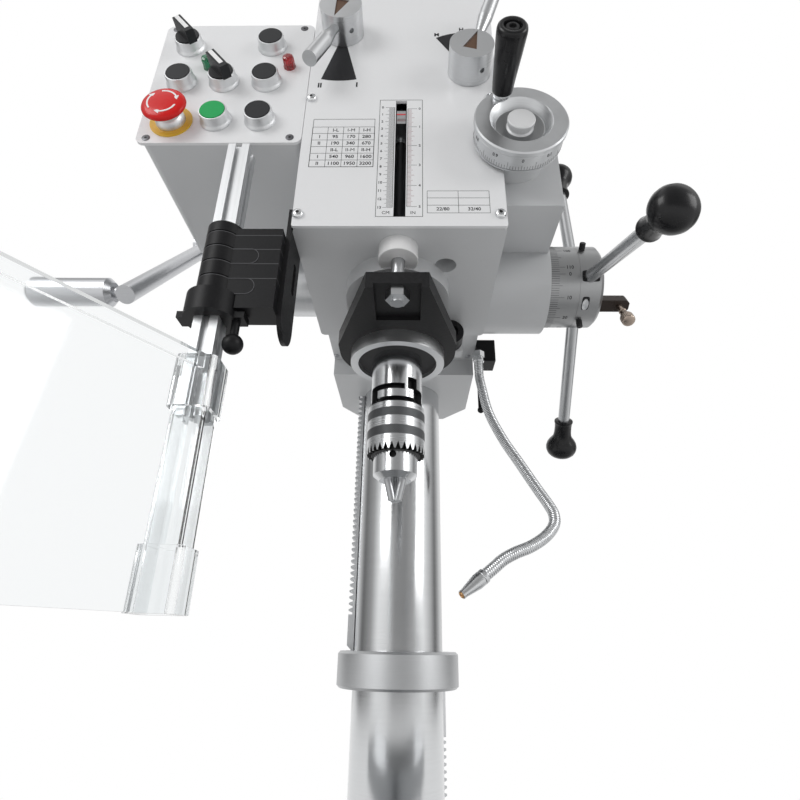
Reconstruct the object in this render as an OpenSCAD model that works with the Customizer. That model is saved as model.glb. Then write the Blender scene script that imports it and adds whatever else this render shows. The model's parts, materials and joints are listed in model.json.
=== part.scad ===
// Floor-standing mill drill with a geared head on a round column.
// The origin is on the floor under the column's axis, X is to the right and -Y is the front.

/* [Column and base] */
// Column diameter
column_d = 115; // [113:1:117]
// Height of the column's top above the floor
column_top = 1735; // [1730:1:1750]
// Base plate width
base_w = 460; // [420:10:520]
// Base plate length
base_l = 640; // [600:10:680]
// Base plate height
base_h = 70; // [60:5:90]
// Outer diameter of the stop collar on the column
collar_d = 155; // [150:1:165]

/* [Head] */
// Distance from the column's axis to the spindle's axis
throat = 272; // [270:1:275]
// Height of the head's underside above the floor
head_z = 1335; // [1333:1:1338]
// Width of the gearbox and of its front plate
head_w = 191.4; // [188:1:200]
// Height of the head
head_h = 355; // [350:5:370]
// Distance from the spindle's axis to the front plate's face
head_front = 133.3; // [132:0.5:135]
// Motor diameter
motor_d = 158; // [140:1:160]
// Motor height
motor_h = 215; // [180:5:240]

/* [Controls] */
// Diameter of the fine feed wheel
wheel_d = 86; // [80:1:90]
// Length of a feed spoke from the hub's axis to the knob's centre
spoke_l = 225; // [200:5:240]
// Control panel width
panel_w = 162; // [158:1:170]
// Control panel height
panel_h = 180; // [178:1:190]
// Control box depth
box_depth = 162; // [120:1:163]

/* [Quill and chuck] */
// Quill diameter
quill_d = 75; // [74:0.5:75.5]
// Outer diameter of the ring at the quill's lower end
ring_d = 98; // [94:1:99]
// Outer diameter of the geared chuck sleeve
chuck_d = 57; // [54:1:60]

/* [Guard] */
// Height of the clear guard shield
shield_h = 183; // [150:1:200]
// Reach of the shield from the pole
shield_l = 260; // [200:5:300]
// Thickness of the clear sheet
shield_t = 4; // [3:0.5:5]

/* [Table] */
// Table length
table_l = 730; // [650:10:760]
// Table width
table_w = 210; // [190:5:220]
// Height of the table's top above the floor
table_z = 850; // [845:1:855]

/* [Hidden] */
$fn = 64;

// Clearances: radius of a running fit, side of a slide, space round a piece that moves freely
fit_c = 0.05;
slide_c = 0.1;
free_c = 0.6;
eps = 1;

paint = [0.80, 0.81, 0.81];
plate_white = [0.88, 0.88, 0.88];
steel = [0.72, 0.73, 0.74];
dark_steel = [0.45, 0.45, 0.46];
black = [0.08, 0.08, 0.09];
aluminium = [0.78, 0.79, 0.80];
brass = [0.72, 0.55, 0.35];

// Places of the head's parts
spindle_y = -throat;
head_x = 3.2;
plate_t = 3;
plate_y = spindle_y - head_front;
casting_y = plate_y + plate_t;
box_rear = spindle_y + 51;
head_top = head_z + head_h;
side_left = head_x - head_w / 2;
side_right = head_x + head_w / 2;
neck_w = 200;
neck_z = head_z + 42;
clamp_front = -84;
clamp_rear = 82;
clamp_z = head_z + 17;
lug_rear = 112;
lug_half = 30;
wall = 12;
clamp_bolt_d = 12;
clamp_bolt_y = 97;
clamp_bolt_z = [clamp_z + 70, clamp_z + 250];
nut_d = 21.9;
nut_h = 10;

// Teeth: pressure angle and thinning of each tooth
press_a = 20;
thin = 0.3;
addendum = 0.85;
dedendum = 1.2;

// Racks on the column
rack_m = 2.5;
rack_w = 18;
rack_gap = 0.1;
rack_back = column_d / 2 + rack_gap;
rack_tip = rack_back + 8.7;
rack_teeth_z = 16;
rack_pinion_r = rack_m * rack_teeth_z / 2;
rack_pinion_x = rack_tip - addendum * rack_m + rack_pinion_r;
collar_z = 949.5;
collar_h = 42;
upper_rack_z = collar_z + collar_h;
upper_rack_l = 720;
lower_rack_z = 220;
lower_rack_l = collar_z - lower_rack_z;
lower_rack_a = 30;
worm_r = 11.5;
worm_wheel_r = 29;
worm_gap = 0.3;
worm_z = head_z + 182;
worm_y = -160;
worm_boss_x = -170;
pinion_shaft_d = 20;
crank_z = worm_z - worm_r - worm_wheel_r - worm_gap;
housing_d = 76;
housing_y = worm_y - 22;
housing_end = 34;
head_crank_x = 280;
head_crank_l = 250;
head_crank_a = 50.8;

// Feed shaft, which crosses behind the quill
quill_m = 2;
quill_teeth = 18;
feed_r = quill_m * quill_teeth / 2;
quill_pitch_r = quill_d / 2 - 1.5;
feed_y = spindle_y + quill_pitch_r + feed_r;
feed_z = head_z + 71;
feed_shaft_d = 30;
boss_d = 114;
boss_end = 173.5;
cap_boss_d = 72;
cap_boss_l = 46;
hub_d = 98;
dial_w = 35;
hub_w = 28;
hub_x = boss_end + 0.4;
spoke_x = hub_x + dial_w + 9.3;
spoke_d = 15;
spoke_a0 = -40;
spoke_tilt = 2.6;

// Fine feed: its worm shaft crosses above the feed shaft in the wing
wing_y = plate_y + 20.3;
wing_z = head_z + 43;
wing_h = 147;
wing_x = [158, 171];
wheel_x = 113;
wheel_z = feed_z + 29;
wheel_shaft_d = 18;
wheel_shaft_end = feed_y + 24;
fine_gear_r = wheel_z - feed_z - wheel_shaft_d / 2 - worm_gap;
fine_gear_w = 16;
sleeve_y = wing_y - 22;
sleeve_d = 58;
wheel_face_y = sleeve_y - 26;
wheel_h = 24;
grip_r = 34.2;
grip_a = 119;
grip_bolt_d = 8;
grip_d = 26.5;
grip_l = 64;

// Gear levers on the front plate: places of their axes, and their angles from the X axis
lever_places = [[-61, head_z + 267], [72, head_z + 203]];
lever_angles = [-106, 72];
lever_hub_d = 44;
lever_hub_l = 30.4;
lever_l = 92;
lever_shaft_d = 14;
lever_shaft_l = 24;

// Quill group heights
ring_z = head_z - 67.2;
ring_h = 13.7;
quill_z = ring_z + ring_h;
quill_top = head_z + 200;
boss_h = 17;
boss_r = 52;
boss_front = spindle_y - 44;
guide_d = 98;
guide_top = head_z + 165;
spindle_d = 42;
nose_d = 52;
nose_z = ring_z - 47.2;
nose_top = ring_z + 4.7;
bearing_w = 7;
upper_bearing_w = 14;
lower_bearing_d = 82;
upper_bearing_d = 62;
lower_seat_d = 50;
upper_seat_d = 35;
spline_d = 28;
spindle_top = head_z + 368;
gear_z = head_z + 225;
gear_w = 20;
gear_m = 4;
spindle_teeth = 38;
motor_teeth = 18;
motor_y = spindle_y + gear_m * (spindle_teeth + motor_teeth) / 2;
cap_d = 42;
cap_h = 40;
motor_spigot_d = 60;
motor_spigot_h = 40;

// Chuck
arbor_d = 31.3;
arbor_top_d = 25.4;
arbor_l = 110;
sleeve_top = nose_z - 6.2;
sleeve_h = 48.2;
chuck_body_d = 43;
chuck_nose_z = sleeve_top - 72.4;
jaw_tip_z = nose_z - 98;
jaw_d = 8;
jaw_a = 15;
jaw_l = 38;
jaw_r = 2.6;
jaw_travel = 30;
jaw_room_d = 50;
sleeve_seat = 10;
sleeve_lid = 3;

// Stop yoke, depth rod and lock
rod_x = 2;
rod_y = spindle_y - 104;
rod_d = 12;
bush_d = 36;
bush_h = 15;
yoke_h = 18.5;
yoke_r = 61;
yoke_front = rod_y - 13;
flange_z = quill_z + 4.5;
flange_t = 12;
channel_w = 40;
lock_x = 58;
lock_y = spindle_y + 16;
lock_z = head_z - 16;
lock_d = 30;
lock_h = 20;
lug_w = 30;

// Control box, seen from the front
panel_right = side_left - 0.5;
panel_left = panel_right - panel_w;
panel_z = head_z + 103;
panel_r = 8;
grid_x = [-224, -180, -136];
grid_z = [panel_z + 31, panel_z + 87, panel_z + 143];
button_d = 24;
bezel_d = 28;
bezel_h = 12;
neck_d = 22;
stem_d = 11.9;
lamp_d = 12;
stop_d = 43;

// Guard
guard_bracket_w = 42;
guard_bracket_t = 4;
guard_bracket_y = casting_y + guard_bracket_w / 2;
pole_x = -149;
pole_y = plate_y + 2.3;
pole_s = 20;
pole_top = panel_z - 10;
shield_z = head_z - 320;
pole_bottom = shield_z + shield_h - 48;
clamp_top = head_z - 6;
clamp_bottom = head_z - 77;
clamp_d = 32;
clamp_bore = 28.8;
clamp_face_y = pole_y - 10;
channel = 27;
collar_ring_d = 44;
collar_ring_h = 21;
shield_a = 237;

// Coolant hose: its free route from the ferrule to the nozzle, in round numbers
hose_d = 12;
hose_bore = 7;
hose_sides = 8;
rib_pitch = 4;
rib_h = 0.9;
bore_steps = 40;
hose_route = [[105, -132, 1348], [105, -132, 1335], [105, -132, 1325], [107, -137, 1305], [113, -144, 1268],
  [126, -156, 1229], [141, -170, 1194], [154, -186, 1161], [163, -200, 1137], [165, -208, 1125],
  [162, -214, 1113], [150, -223, 1100], [133, -232, 1089], [117, -239, 1082], [104, -243, 1075],
  [94, -246, 1067], [84, -249, 1059]];
ferrule_d = 15;
ferrule_h = 14;
valve_x = head_x + neck_w / 2;
valve_y = hose_route[0][1] + 5;
valve_z = head_z + 17;
valve_s = [26, 30, 33];
tap_x = valve_x + 7;
tap_z = valve_z + 16;
tap_d = 8;

// Table stack
rail_h = 14;
table_t = 48;
table_rail_w = 100;
saddle_h = 40;
saddle_l = 200;
saddle_w = 230;
way_w = 120;
arm_front = spindle_y - 200;
arm_z = table_z - table_t - saddle_h;
arm_h = 62;
arm_w = 136;
bracket_z = arm_z - 160;
bracket_h = 153;
bracket_d = 165;
screw_d = 18;
screw_groove = 30;
saddle_screw_z = arm_z - 2;
table_screw_z = table_z - table_t - 2;
table_crank_z = bracket_z + 70;
table_crank_y = 175;
table_crank_l = 80;
handwheel_d = 110;

// Cylinders that lie along X and along Y
module cyl_x(d, l) {
  rotate([0, 90, 0])
    cylinder(d = d, h = l);
}

module cyl_y(d, l) {
  rotate([-90, 0, 0])
    cylinder(d = d, h = l);
}

// Rectangle with round corners, centred
module round_rect(w, h, r) {
  square([w - 2 * r, h], center = true);
  square([w, h - 2 * r], center = true);
  for (x = [-1, 1], y = [-1, 1])
    translate([x * (w / 2 - r), y * (h / 2 - r)])
      circle(r);
}

// Block with round corners as seen from above
module round_block(x0, x1, y0, y1, z0, h, r) {
  translate([(x0 + x1) / 2, (y0 + y1) / 2, z0])
    linear_extrude(h)
      round_rect(x1 - x0, y1 - y0, r);
}

// Plate with round corners as seen from the front
module front_block(x0, x1, z0, z1, y0, t, r) {
  translate([(x0 + x1) / 2, y0 + t, (z0 + z1) / 2])
    rotate([90, 0, 0])
      linear_extrude(t)
        round_rect(x1 - x0, z1 - z0, r);
}

module ring(d, bore, h) {
  difference() {
    cylinder(d = d, h = h);
    translate([0, 0, -eps])
      cylinder(d = bore, h = h + 2 * eps);
  }
}

// Cylinder with a chamfer c at its far end, and with one at both ends
module chamfered(d, h, c) {
  cylinder(d = d, h = h - c);
  translate([0, 0, h - c])
    cylinder(d1 = d, d2 = d - 2 * c, h = c);
}

module barrel(d, h, c) {
  cylinder(d1 = d - 2 * c, d2 = d, h = c);
  translate([0, 0, c])
    chamfered(d, h - c, c);
}

// Involute tooth: half its angle at radius r, with pitch radius rp and base radius rb
function involute(a) = tan(a) * 180 / PI - a;
function tooth_half(r, z, rp, rb) =
  90 / z - thin / 2 / rp * 180 / PI + involute(press_a) - involute(acos(min(1, rb / r)));

// Outline of a gear of module m with z teeth, one of them on the X axis
function gear_outline(m, z) =
  let (rp = m * z / 2, rb = rp * cos(press_a), ra = rp + addendum * m, rf = rp - dedendum * m)
  let (r0 = max(rb, rf), rs = [r0, (r0 + rp) / 2, rp, ra])
  [for (k = [0:z - 1], s = [-1, 1], i = [0:4])
    let (j = s < 0 ? i : 4 - i)
    let (r = j == 0 ? rf : rs[j - 1])
    let (a = 360 / z * k + s * tooth_half(max(r, r0), z, rp, rb))
    [r * cos(a), r * sin(a)]];

module gear(m, z, w, turn = 0) {
  rotate(turn)
    linear_extrude(w)
      polygon(gear_outline(m, z));
}

// Outline of a rack bar: teeth towards +X with the pitch line at x = 0, a gap centred on y = 0
function rack_outline(m, below, above, back) =
  let (p = PI * m, q = p / 4 - thin / 4)
  concat([[back, (below - 1) * p], [-dedendum * m, (below - 1) * p]],
    [for (k = [below:above], c = [[-dedendum, -1], [addendum, -1], [addendum, 1], [-dedendum, 1]])
      [c[0] * m, (k + 0.5) * p + c[1] * (q - c[0] * m * tan(press_a))]],
    [[-dedendum * m, (above + 2) * p], [back, (above + 2) * p]]);

// Rack bar from height z0 to z1 with a gap at height mesh_z, standing on the column's +X side
module column_rack(z0, z1, teeth_z0, teeth_z1, mesh_z) {
  pitch_x = rack_tip - addendum * rack_m;
  p = PI * rack_m;
  below = ceil((teeth_z0 - mesh_z) / p);
  above = floor((teeth_z1 - mesh_z) / p) - 1;
  intersection() {
    translate([pitch_x, rack_w / 2, mesh_z])
      rotate([90, 0, 0])
        linear_extrude(rack_w)
          union() {
            polygon(rack_outline(rack_m, below, above, rack_back - pitch_x));
            translate([rack_back - pitch_x, z0 - mesh_z])
              square([rack_tip - rack_back, (below - 0.2) * p - z0 + mesh_z]);
            translate([rack_back - pitch_x, (above + 1.2) * p])
              square([rack_tip - rack_back, z1 - mesh_z - (above + 1.2) * p]);
          }
    translate([0, -rack_w, z0])
      cube([rack_tip + eps, 2 * rack_w, z1 - z0]);
  }
}

// Handwheel on a screw's end: rim, web, hub and handle, its axis along +Z
module handwheel(d, bore_d) {
  difference() {
    union() {
      ring(d, d - 20, 16);
      translate([0, 0, 5])
        cylinder(d = d - 18, h = 6);
      cylinder(d = 34, h = 24);
    }
    translate([0, 0, -eps])
      cylinder(d = bore_d, h = 24 + 2 * eps);
  }
  translate([d / 2 - 10, 0, 14])
    cylinder(d = 8, h = 14);
  translate([d / 2 - 10, 0, 24])
    barrel(20, 50, 4);
}

// Base casting with the column socket and four holes for floor bolts
module base() {
  socket_h = 130;
  rib = 18;
  centre_y = 190 - base_l / 2;
  color(paint)
    difference() {
      union() {
        translate([0, centre_y, 0])
          linear_extrude(base_h)
            round_rect(base_w, base_l, 30);
        translate([0, 0, base_h - eps])
          cylinder(d = 230, h = 25 + eps);
        cylinder(d = 185, h = base_h + socket_h);
      }
      difference() {
        translate([0, centre_y, -eps])
          linear_extrude(base_h - 20 + eps)
            round_rect(base_w - 2 * rib, base_l - 2 * rib, 20);
        translate([0, 0, -2 * eps])
          cylinder(d = 220, h = base_h);
        for (x = [-1, 1], y = [-1, 1])
          translate([x * (base_w / 2 - 40), centre_y + y * (base_l / 2 - 40), -2 * eps])
            cylinder(d = 60, h = base_h);
      }
      translate([0, 0, 20])
        cylinder(d = column_d + 2 * fit_c, h = base_h + socket_h);
      for (x = [-1, 1], y = [-1, 1])
        translate([x * (base_w / 2 - 40), centre_y + y * (base_l / 2 - 40), -2 * eps])
          cylinder(d = 18, h = base_h + 4 * eps);
    }
}

module column() {
  color(steel)
    translate([0, 0, 20])
      ring(column_d, column_d - 26, column_top - 20);
}

module stop_collar() {
  c = 3;
  color(aluminium)
    difference() {
      translate([0, 0, collar_z])
        barrel(collar_d, collar_h, c);
      translate([0, 0, collar_z - eps])
        cylinder(d = column_d + 2 * fit_c, h = collar_h + 2 * eps);
    }
}

module rack_upper() {
  color(steel)
    mirror([1, 0, 0])
      difference() {
        column_rack(upper_rack_z + 0.2, upper_rack_z + upper_rack_l, upper_rack_z + 38,
          upper_rack_z + upper_rack_l - 10, crank_z);
        translate([rack_tip - 6, -rack_w, upper_rack_z])
          rotate([0, 45, 0])
            cube([20, 2 * rack_w, 20]);
      }
}

module rack_lower() {
  color(steel)
    rotate(lower_rack_a)
      column_rack(lower_rack_z, collar_z - 0.2, lower_rack_z + 10, collar_z - 56, table_crank_z);
}

// Space for the rack and its pinion in a sleeve that slides on the column
module rack_space(z0, h) {
  translate([column_d / 2 - 3, -rack_w / 2 - slide_c, z0])
    cube([rack_tip - column_d / 2 + 3 + free_c, rack_w + 2 * slide_c, h]);
}

// Table bracket: sleeve on the column, arm to the front with the way for the saddle
module table_bracket() {
  shaft_d = 20;
  pocket_r = rack_pinion_r + rack_m + free_c;
  color(paint)
    difference() {
      union() {
        translate([0, 0, bracket_z])
          cylinder(d = bracket_d, h = bracket_h);
        round_block(-arm_w / 2, arm_w / 2, arm_front, -40, arm_z - arm_h, arm_h, 10);
        translate([-15, 0, 0])
          rotate([90, 0, 90])
            linear_extrude(30)
              polygon([[-70, bracket_z + 10], [-70, arm_z - arm_h + eps],
                [arm_front + 60, arm_z - arm_h + eps], [arm_front + 60, arm_z - arm_h]]);
        translate([-way_w / 2, arm_front, arm_z - eps])
          cube([way_w, -arm_front - 90, rail_h - slide_c + eps]);
        translate([-25, arm_front - 14, arm_z - 30])
          cube([50, 15, 44 - slide_c]);
        rotate(lower_rack_a)
          translate([rack_pinion_x, -40, table_crank_z])
            cyl_y(64, 60);
        rotate(lower_rack_a)
          translate([rack_pinion_x, -130, table_crank_z])
            cyl_y(36, 100);
      }
      translate([0, 0, bracket_z - eps])
        cylinder(d = column_d + 2 * fit_c, h = bracket_h + 100);
      rotate(lower_rack_a)
        rack_space(bracket_z - eps, bracket_h + 2 * eps);
      rotate(lower_rack_a)
        translate([rack_pinion_x, -rack_w / 2 - 2, table_crank_z])
          cyl_y(2 * pocket_r, rack_w + 4);
      rotate(lower_rack_a)
        translate([rack_pinion_x, -140, table_crank_z])
          cyl_y(shaft_d + 2 * fit_c, 156);
      translate([-screw_groove / 2, arm_front + eps, arm_z - 18])
        cube([screw_groove, -arm_front - 88, 40]);
      translate([0, arm_front - 20, saddle_screw_z])
        cyl_y(screw_d + 2 * fit_c, 40);
    }
}

// Table crank: pinion on the lower rack, shaft, arm and handle in one turned assembly
module table_crank() {
  color(steel)
    rotate(lower_rack_a)
      translate([rack_pinion_x, 0, table_crank_z])
        rotate([90, 0, 0]) {
          translate([0, 0, -rack_w / 2])
            rotate([0, 0, 180])
              gear(rack_m, rack_teeth_z, rack_w);
          translate([0, 0, -14])
            cylinder(d = 20, h = table_crank_y);
          translate([0, 0, table_crank_y - 34])
            cylinder(d = 34, h = 22);
          rotate([0, 0, -50])
            translate([0, 0, table_crank_y - 23]) {
              rotate([0, 90, 0])
                cylinder(d = 14, h = table_crank_l);
              translate([table_crank_l, 0, -8])
                cylinder(d = 9, h = 20);
              translate([table_crank_l, 0, 10])
                barrel(26, 80, 5);
            }
        }
}

// Saddle: slides front to back on the bracket's way and carries the table's way
module saddle() {
  nut_l = 40;
  color(paint)
    difference() {
      union() {
        round_block(-saddle_w / 2, saddle_w / 2, spindle_y - saddle_l / 2, spindle_y + saddle_l / 2,
          arm_z, saddle_h, 8);
        translate([-saddle_w / 2, spindle_y - table_rail_w / 2, arm_z + saddle_h - eps])
          cube([saddle_w, table_rail_w, rail_h - slide_c + eps]);
        translate([-screw_groove / 2 + free_c, spindle_y - nut_l / 2, arm_z - 14])
          cube([screw_groove - 2 * free_c, nut_l, 14 + rail_h + eps]);
      }
      difference() {
        translate([-way_w / 2 - slide_c, spindle_y - saddle_l, arm_z - eps])
          cube([way_w + 2 * slide_c, 2 * saddle_l, rail_h + eps]);
        translate([-screw_groove / 2 + free_c, spindle_y - nut_l / 2, arm_z - 20])
          cube([screw_groove - 2 * free_c, nut_l, 80]);
      }
      translate([0, spindle_y - nut_l, saddle_screw_z])
        cyl_y(screw_d + 2 * fit_c, 2 * nut_l);
      for (x = [-1, 1])
        translate([x > 0 ? nut_l / 2 : -saddle_w, spindle_y - screw_groove / 2, arm_z + saddle_h - 18])
          cube([saddle_w - nut_l / 2, screw_groove, 40]);
      translate([-nut_l, spindle_y, table_screw_z])
        cyl_x(screw_d + 2 * fit_c, 2 * nut_l);
    }
}

// Slotted table with a channel below, which rides on the saddle, and an end plate at each side
module work_table() {
  slot_w = 14;
  slot_under = 24;
  color(steel)
    difference() {
      union() {
        translate([-table_l / 2, spindle_y - table_w / 2, table_z - table_t])
          cube([table_l, table_w, table_t]);
        for (x = [-1, 1])
          translate([x * (table_l / 2 - 10) - 10, spindle_y - 40, table_z - table_t - 18])
            cube([20, 80, 20]);
      }
      translate([-table_l / 2 + 20, spindle_y - table_rail_w / 2 - slide_c, table_z - table_t - eps])
        cube([table_l - 40, table_rail_w + 2 * slide_c, rail_h + eps]);
      for (y = [-60, 0, 60])
        translate([-table_l, spindle_y + y, 0]) {
          translate([0, -slot_w / 2, table_z - 16])
            cube([2 * table_l, slot_w, 20]);
          translate([0, -slot_under / 2, table_z - 24])
            cube([2 * table_l, slot_under, 10]);
        }
      translate([-table_l, spindle_y, table_screw_z])
        cyl_x(screw_d + 2 * fit_c, 2 * table_l);
    }
}

module saddle_screw() {
  back_y = spindle_y + 130;
  front_y = arm_front - 14;
  color(steel) {
    translate([0, front_y - 24, saddle_screw_z])
      cyl_y(screw_d, back_y - front_y + 24);
    translate([0, front_y - 0.3, saddle_screw_z])
      rotate([90, 0, 0])
        handwheel(handwheel_d, screw_d);
  }
}

module table_screw() {
  end_x = table_l / 2;
  color(steel) {
    translate([-end_x - 6, spindle_y, table_screw_z])
      cyl_x(screw_d, 2 * end_x + 30);
    translate([end_x + 0.3, spindle_y, table_screw_z])
      rotate([0, 90, 0])
        handwheel(handwheel_d, screw_d);
    translate([-end_x - 6, spindle_y, table_screw_z])
      cyl_x(26, 5.7);
  }
}

// Web and boss on the right that carry the fine feed: side outline cut by the outline from above
module wing() {
  intersection() {
    translate([side_right - 12, 0, 0])
      rotate([90, 0, 90])
        linear_extrude(wing_x[1] - side_right + 12)
          polygon([[wing_y, wing_z], [feed_y - boss_d / 2, feed_z + 7], [feed_y, feed_z + 20],
            [feed_y, wing_z + wing_h], [wing_y, wing_z + wing_h]]);
    translate([0, 0, wing_z - eps])
      linear_extrude(wing_h + 2 * eps)
        polygon([[side_right - 12, wing_y], [wing_x[0], wing_y], [wing_x[1], feed_y - boss_d / 2],
          [wing_x[1], feed_y], [side_right - 12, feed_y]]);
  }
}

// Outer shape of the head
module head_outside() {
  round_block(side_left, side_right, casting_y, box_rear, head_z, head_h, 5);
  translate([head_x - neck_w / 2, box_rear - eps, neck_z])
    cube([neck_w, clamp_front - box_rear + 2 * eps, head_top - neck_z]);
  translate([head_x, 0, clamp_z])
    linear_extrude(head_top - clamp_z)
      polygon([[-neck_w / 2, clamp_front], [neck_w / 2, clamp_front], [neck_w / 2, 38],
        [neck_w / 2 - 34, clamp_rear], [-neck_w / 2 + 30, clamp_rear], [-neck_w / 2, 33]]);
  translate([-lug_half, clamp_rear - eps, clamp_z + 20])
    cube([2 * lug_half, lug_rear - clamp_rear + eps, head_h - 80]);
  wing();
  translate([side_right - 12, feed_y, feed_z])
    cyl_x(boss_d, boss_end - side_right + 12);
  translate([side_left - cap_boss_l, feed_y, feed_z])
    cyl_x(cap_boss_d - 14, 12);
  translate([side_left - cap_boss_l + 7, feed_y, feed_z])
    cyl_x(cap_boss_d, cap_boss_l + 3);
  translate([0, 0, head_z - boss_h])
    linear_extrude(boss_h + eps) {
      translate([0, spindle_y])
        circle(boss_r);
      translate([0, boss_front])
        circle(boss_r);
      translate([-boss_r, boss_front])
        square([2 * boss_r, spindle_y - boss_front]);
    }
  translate([rod_x, rod_y, head_z - bush_h])
    cylinder(d = bush_d, h = bush_h + eps);
  translate([wheel_x, sleeve_y, wheel_z])
    cyl_y(sleeve_d, wing_y - sleeve_y + eps);
  translate([-rack_pinion_x, housing_y, crank_z])
    cyl_y(housing_d, housing_end - housing_y);
  translate([worm_boss_x, worm_y, worm_z])
    cyl_x(40, side_left - worm_boss_x + 10);
  translate([lock_x - lug_w / 2, lock_y + lock_h + 0.3, lock_z - 14])
    cube([lug_w, 14, head_z - lock_z + 14 + eps]);
  translate([0, spindle_y, head_top - eps])
    cylinder(d = cap_d + 8, h = cap_h + eps);
}

// Hollows of the gearbox and the neck, below the top wall
module head_cavities() {
  inner_left = side_left + wall;
  inner_right = side_right - wall;
  under_top = head_top - wall;
  gear_room_z = head_z + 205;
  round_block(inner_left, inner_right, spindle_y - 62, box_rear - wall, head_z + 30,
    under_top - head_z - 30, 8);
  round_block(inner_left, inner_right, casting_y + wall, clamp_front - 16, gear_room_z,
    under_top - gear_room_z, 8);
  round_block(head_x - neck_w / 2 + wall, head_x + neck_w / 2 - wall, box_rear + wall,
    clamp_front - 12, neck_z + wall, gear_room_z - neck_z - wall + eps, 8);
  translate([rod_x - channel_w / 2, casting_y - eps, head_z + 8])
    cube([channel_w, 60, gear_room_z - head_z - 8 + eps]);
  for (x = [[inner_left, rod_x - channel_w / 2 - wall], [rod_x + channel_w / 2 + wall, inner_right]])
    round_block(x[0], x[1], casting_y + wall, spindle_y - 50, head_z + 30,
      gear_room_z - head_z - 30 + eps, 8);
  round_block(inner_right - 20, wing_x[0] - wall, wing_y + wall, feed_y - boss_d / 2,
    wheel_z + sleeve_d / 2, wing_z + wing_h - wall - wheel_z - sleeve_d / 2, 8);
}

// Bores, seats and slots of the head
module head_bores() {
  turning_r = rack_pinion_r + rack_m + free_c;
  translate([0, spindle_y, head_z - boss_h - eps])
    cylinder(d = quill_d + 2 * fit_c, h = guide_top - head_z + boss_h + 2 * eps);
  translate([0, spindle_y, head_top - wall - eps])
    cylinder(d = cap_d, h = cap_h + wall - 6);
  translate([side_left - cap_boss_l + 16, feed_y, feed_z])
    cyl_x(feed_shaft_d + 2 * fit_c, boss_end - side_left + cap_boss_l);
  translate([-22, feed_y, feed_z])
    cyl_x(2 * (feed_r + quill_m) + 2 * free_c, 44);
  translate([wheel_x - fine_gear_w / 2 - free_c, feed_y, feed_z])
    cyl_x(2 * (fine_gear_r + free_c), fine_gear_w + 2 * free_c);
  translate([wheel_x, sleeve_y - eps, wheel_z])
    cyl_y(wheel_shaft_d + 2 * fit_c, wheel_shaft_end - sleeve_y + 2 * eps);
  translate([rod_x, rod_y, head_z - bush_h - eps])
    cylinder(d = rod_d + 2 * fit_c, h = bush_h + 10);
  translate([47, spindle_y - 79, head_z - eps])
    cylinder(d = 21, h = 26);
  translate([0, 0, clamp_z - eps])
    cylinder(d = column_d + 2 * fit_c, h = head_h + 2 * eps);
  mirror([1, 0, 0])
    rack_space(clamp_z - eps, head_h + 2 * eps);
  translate([-rack_pinion_x, -rack_w / 2 - 2, crank_z])
    cyl_y(2 * turning_r, rack_w + 4);
  translate([-rack_pinion_x, worm_y - 15, crank_z])
    cyl_y(pinion_shaft_d + 2 * fit_c, 15 - worm_y + rack_w + 12);
  translate([-rack_pinion_x, worm_y - 13, crank_z])
    cyl_y(2 * worm_wheel_r + 2 * free_c, 26);
  translate([worm_boss_x - eps, worm_y, worm_z])
    cyl_x(16 + 2 * fit_c, -worm_boss_x - 50);
  translate([-rack_pinion_x - 20, worm_y, worm_z])
    cyl_x(2 * worm_r + 2 * free_c, 40);
  translate([-2, 40, clamp_z - eps])
    cube([4, 90, head_h]);
  for (z = clamp_bolt_z)
    translate([-lug_half - eps, clamp_bolt_y, z])
      cyl_x(clamp_bolt_d + 2 * free_c, 2 * (lug_half + eps));
  translate([lock_x, lock_y - eps, lock_z])
    cyl_y(lock_d + 2 * free_c, lock_h + eps + 0.3);
  translate([lock_x, lock_y + lock_h, lock_z])
    cyl_y(10 + 2 * fit_c, 20);
  translate([0, motor_y, head_top - wall - eps])
    cylinder(d = motor_spigot_d + 2 * slide_c, h = wall + 2 * eps);
  for (p = lever_places)
    translate([p[0], casting_y - eps, p[1]])
      cyl_y(lever_shaft_d + 2 * fit_c, lever_shaft_l + eps);
}

// Head casting: gearbox, neck and column clamp in one piece
module head_casting() {
  color(paint)
    difference() {
      union() {
        difference() {
          head_outside();
          head_cavities();
        }
        translate([0, spindle_y, head_z])
          cylinder(d = guide_d, h = guide_top - head_z);
        translate([side_left + eps, feed_y, feed_z])
          cyl_x(56, head_w - 2 * eps);
        translate([-rack_pinion_x, worm_y - 18, crank_z])
          cyl_y(housing_d, -worm_y - 60);
        translate([-rack_pinion_x - 22, worm_y, worm_z])
          cyl_x(40, 44);
      }
      head_bores();
    }
}

module front_plate() {
  slot_x0 = -2.3;
  slot_x1 = 8.5;
  slot_h = 150;
  color(plate_white)
    difference() {
      front_block(side_left, side_right, head_z, head_top - 2, plate_y, plate_t, 2);
      translate([slot_x0, plate_y - eps, head_z + 10.8])
        cube([slot_x1 - slot_x0, plate_t + 2 * eps, slot_h]);
      for (p = lever_places)
        translate([p[0], plate_y - eps, p[1]])
          cyl_y(lever_shaft_d + 2 * free_c, plate_t + 2 * eps);
      for (p = plate_screw_places())
        translate([p[0], plate_y - eps, p[1]])
          cyl_y(5, plate_t + 2 * eps);
      translate([wheel_x, plate_y - eps, wheel_z])
        cyl_y(sleeve_d + 2 * free_c, plate_t + 2 * eps);
    }
}

// Places of the plate's and the panel's screws
function plate_screw_places() =
  [for (x = [side_left + 5, side_right - 6], z = [head_z + 13.5, head_z + 165, head_z + 335]) [x, z]];
function panel_screw_places() =
  [for (x = [panel_left + 10, panel_right - 11.5], z = [panel_z + 7, panel_z + panel_h - 6]) [x, z]];

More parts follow.
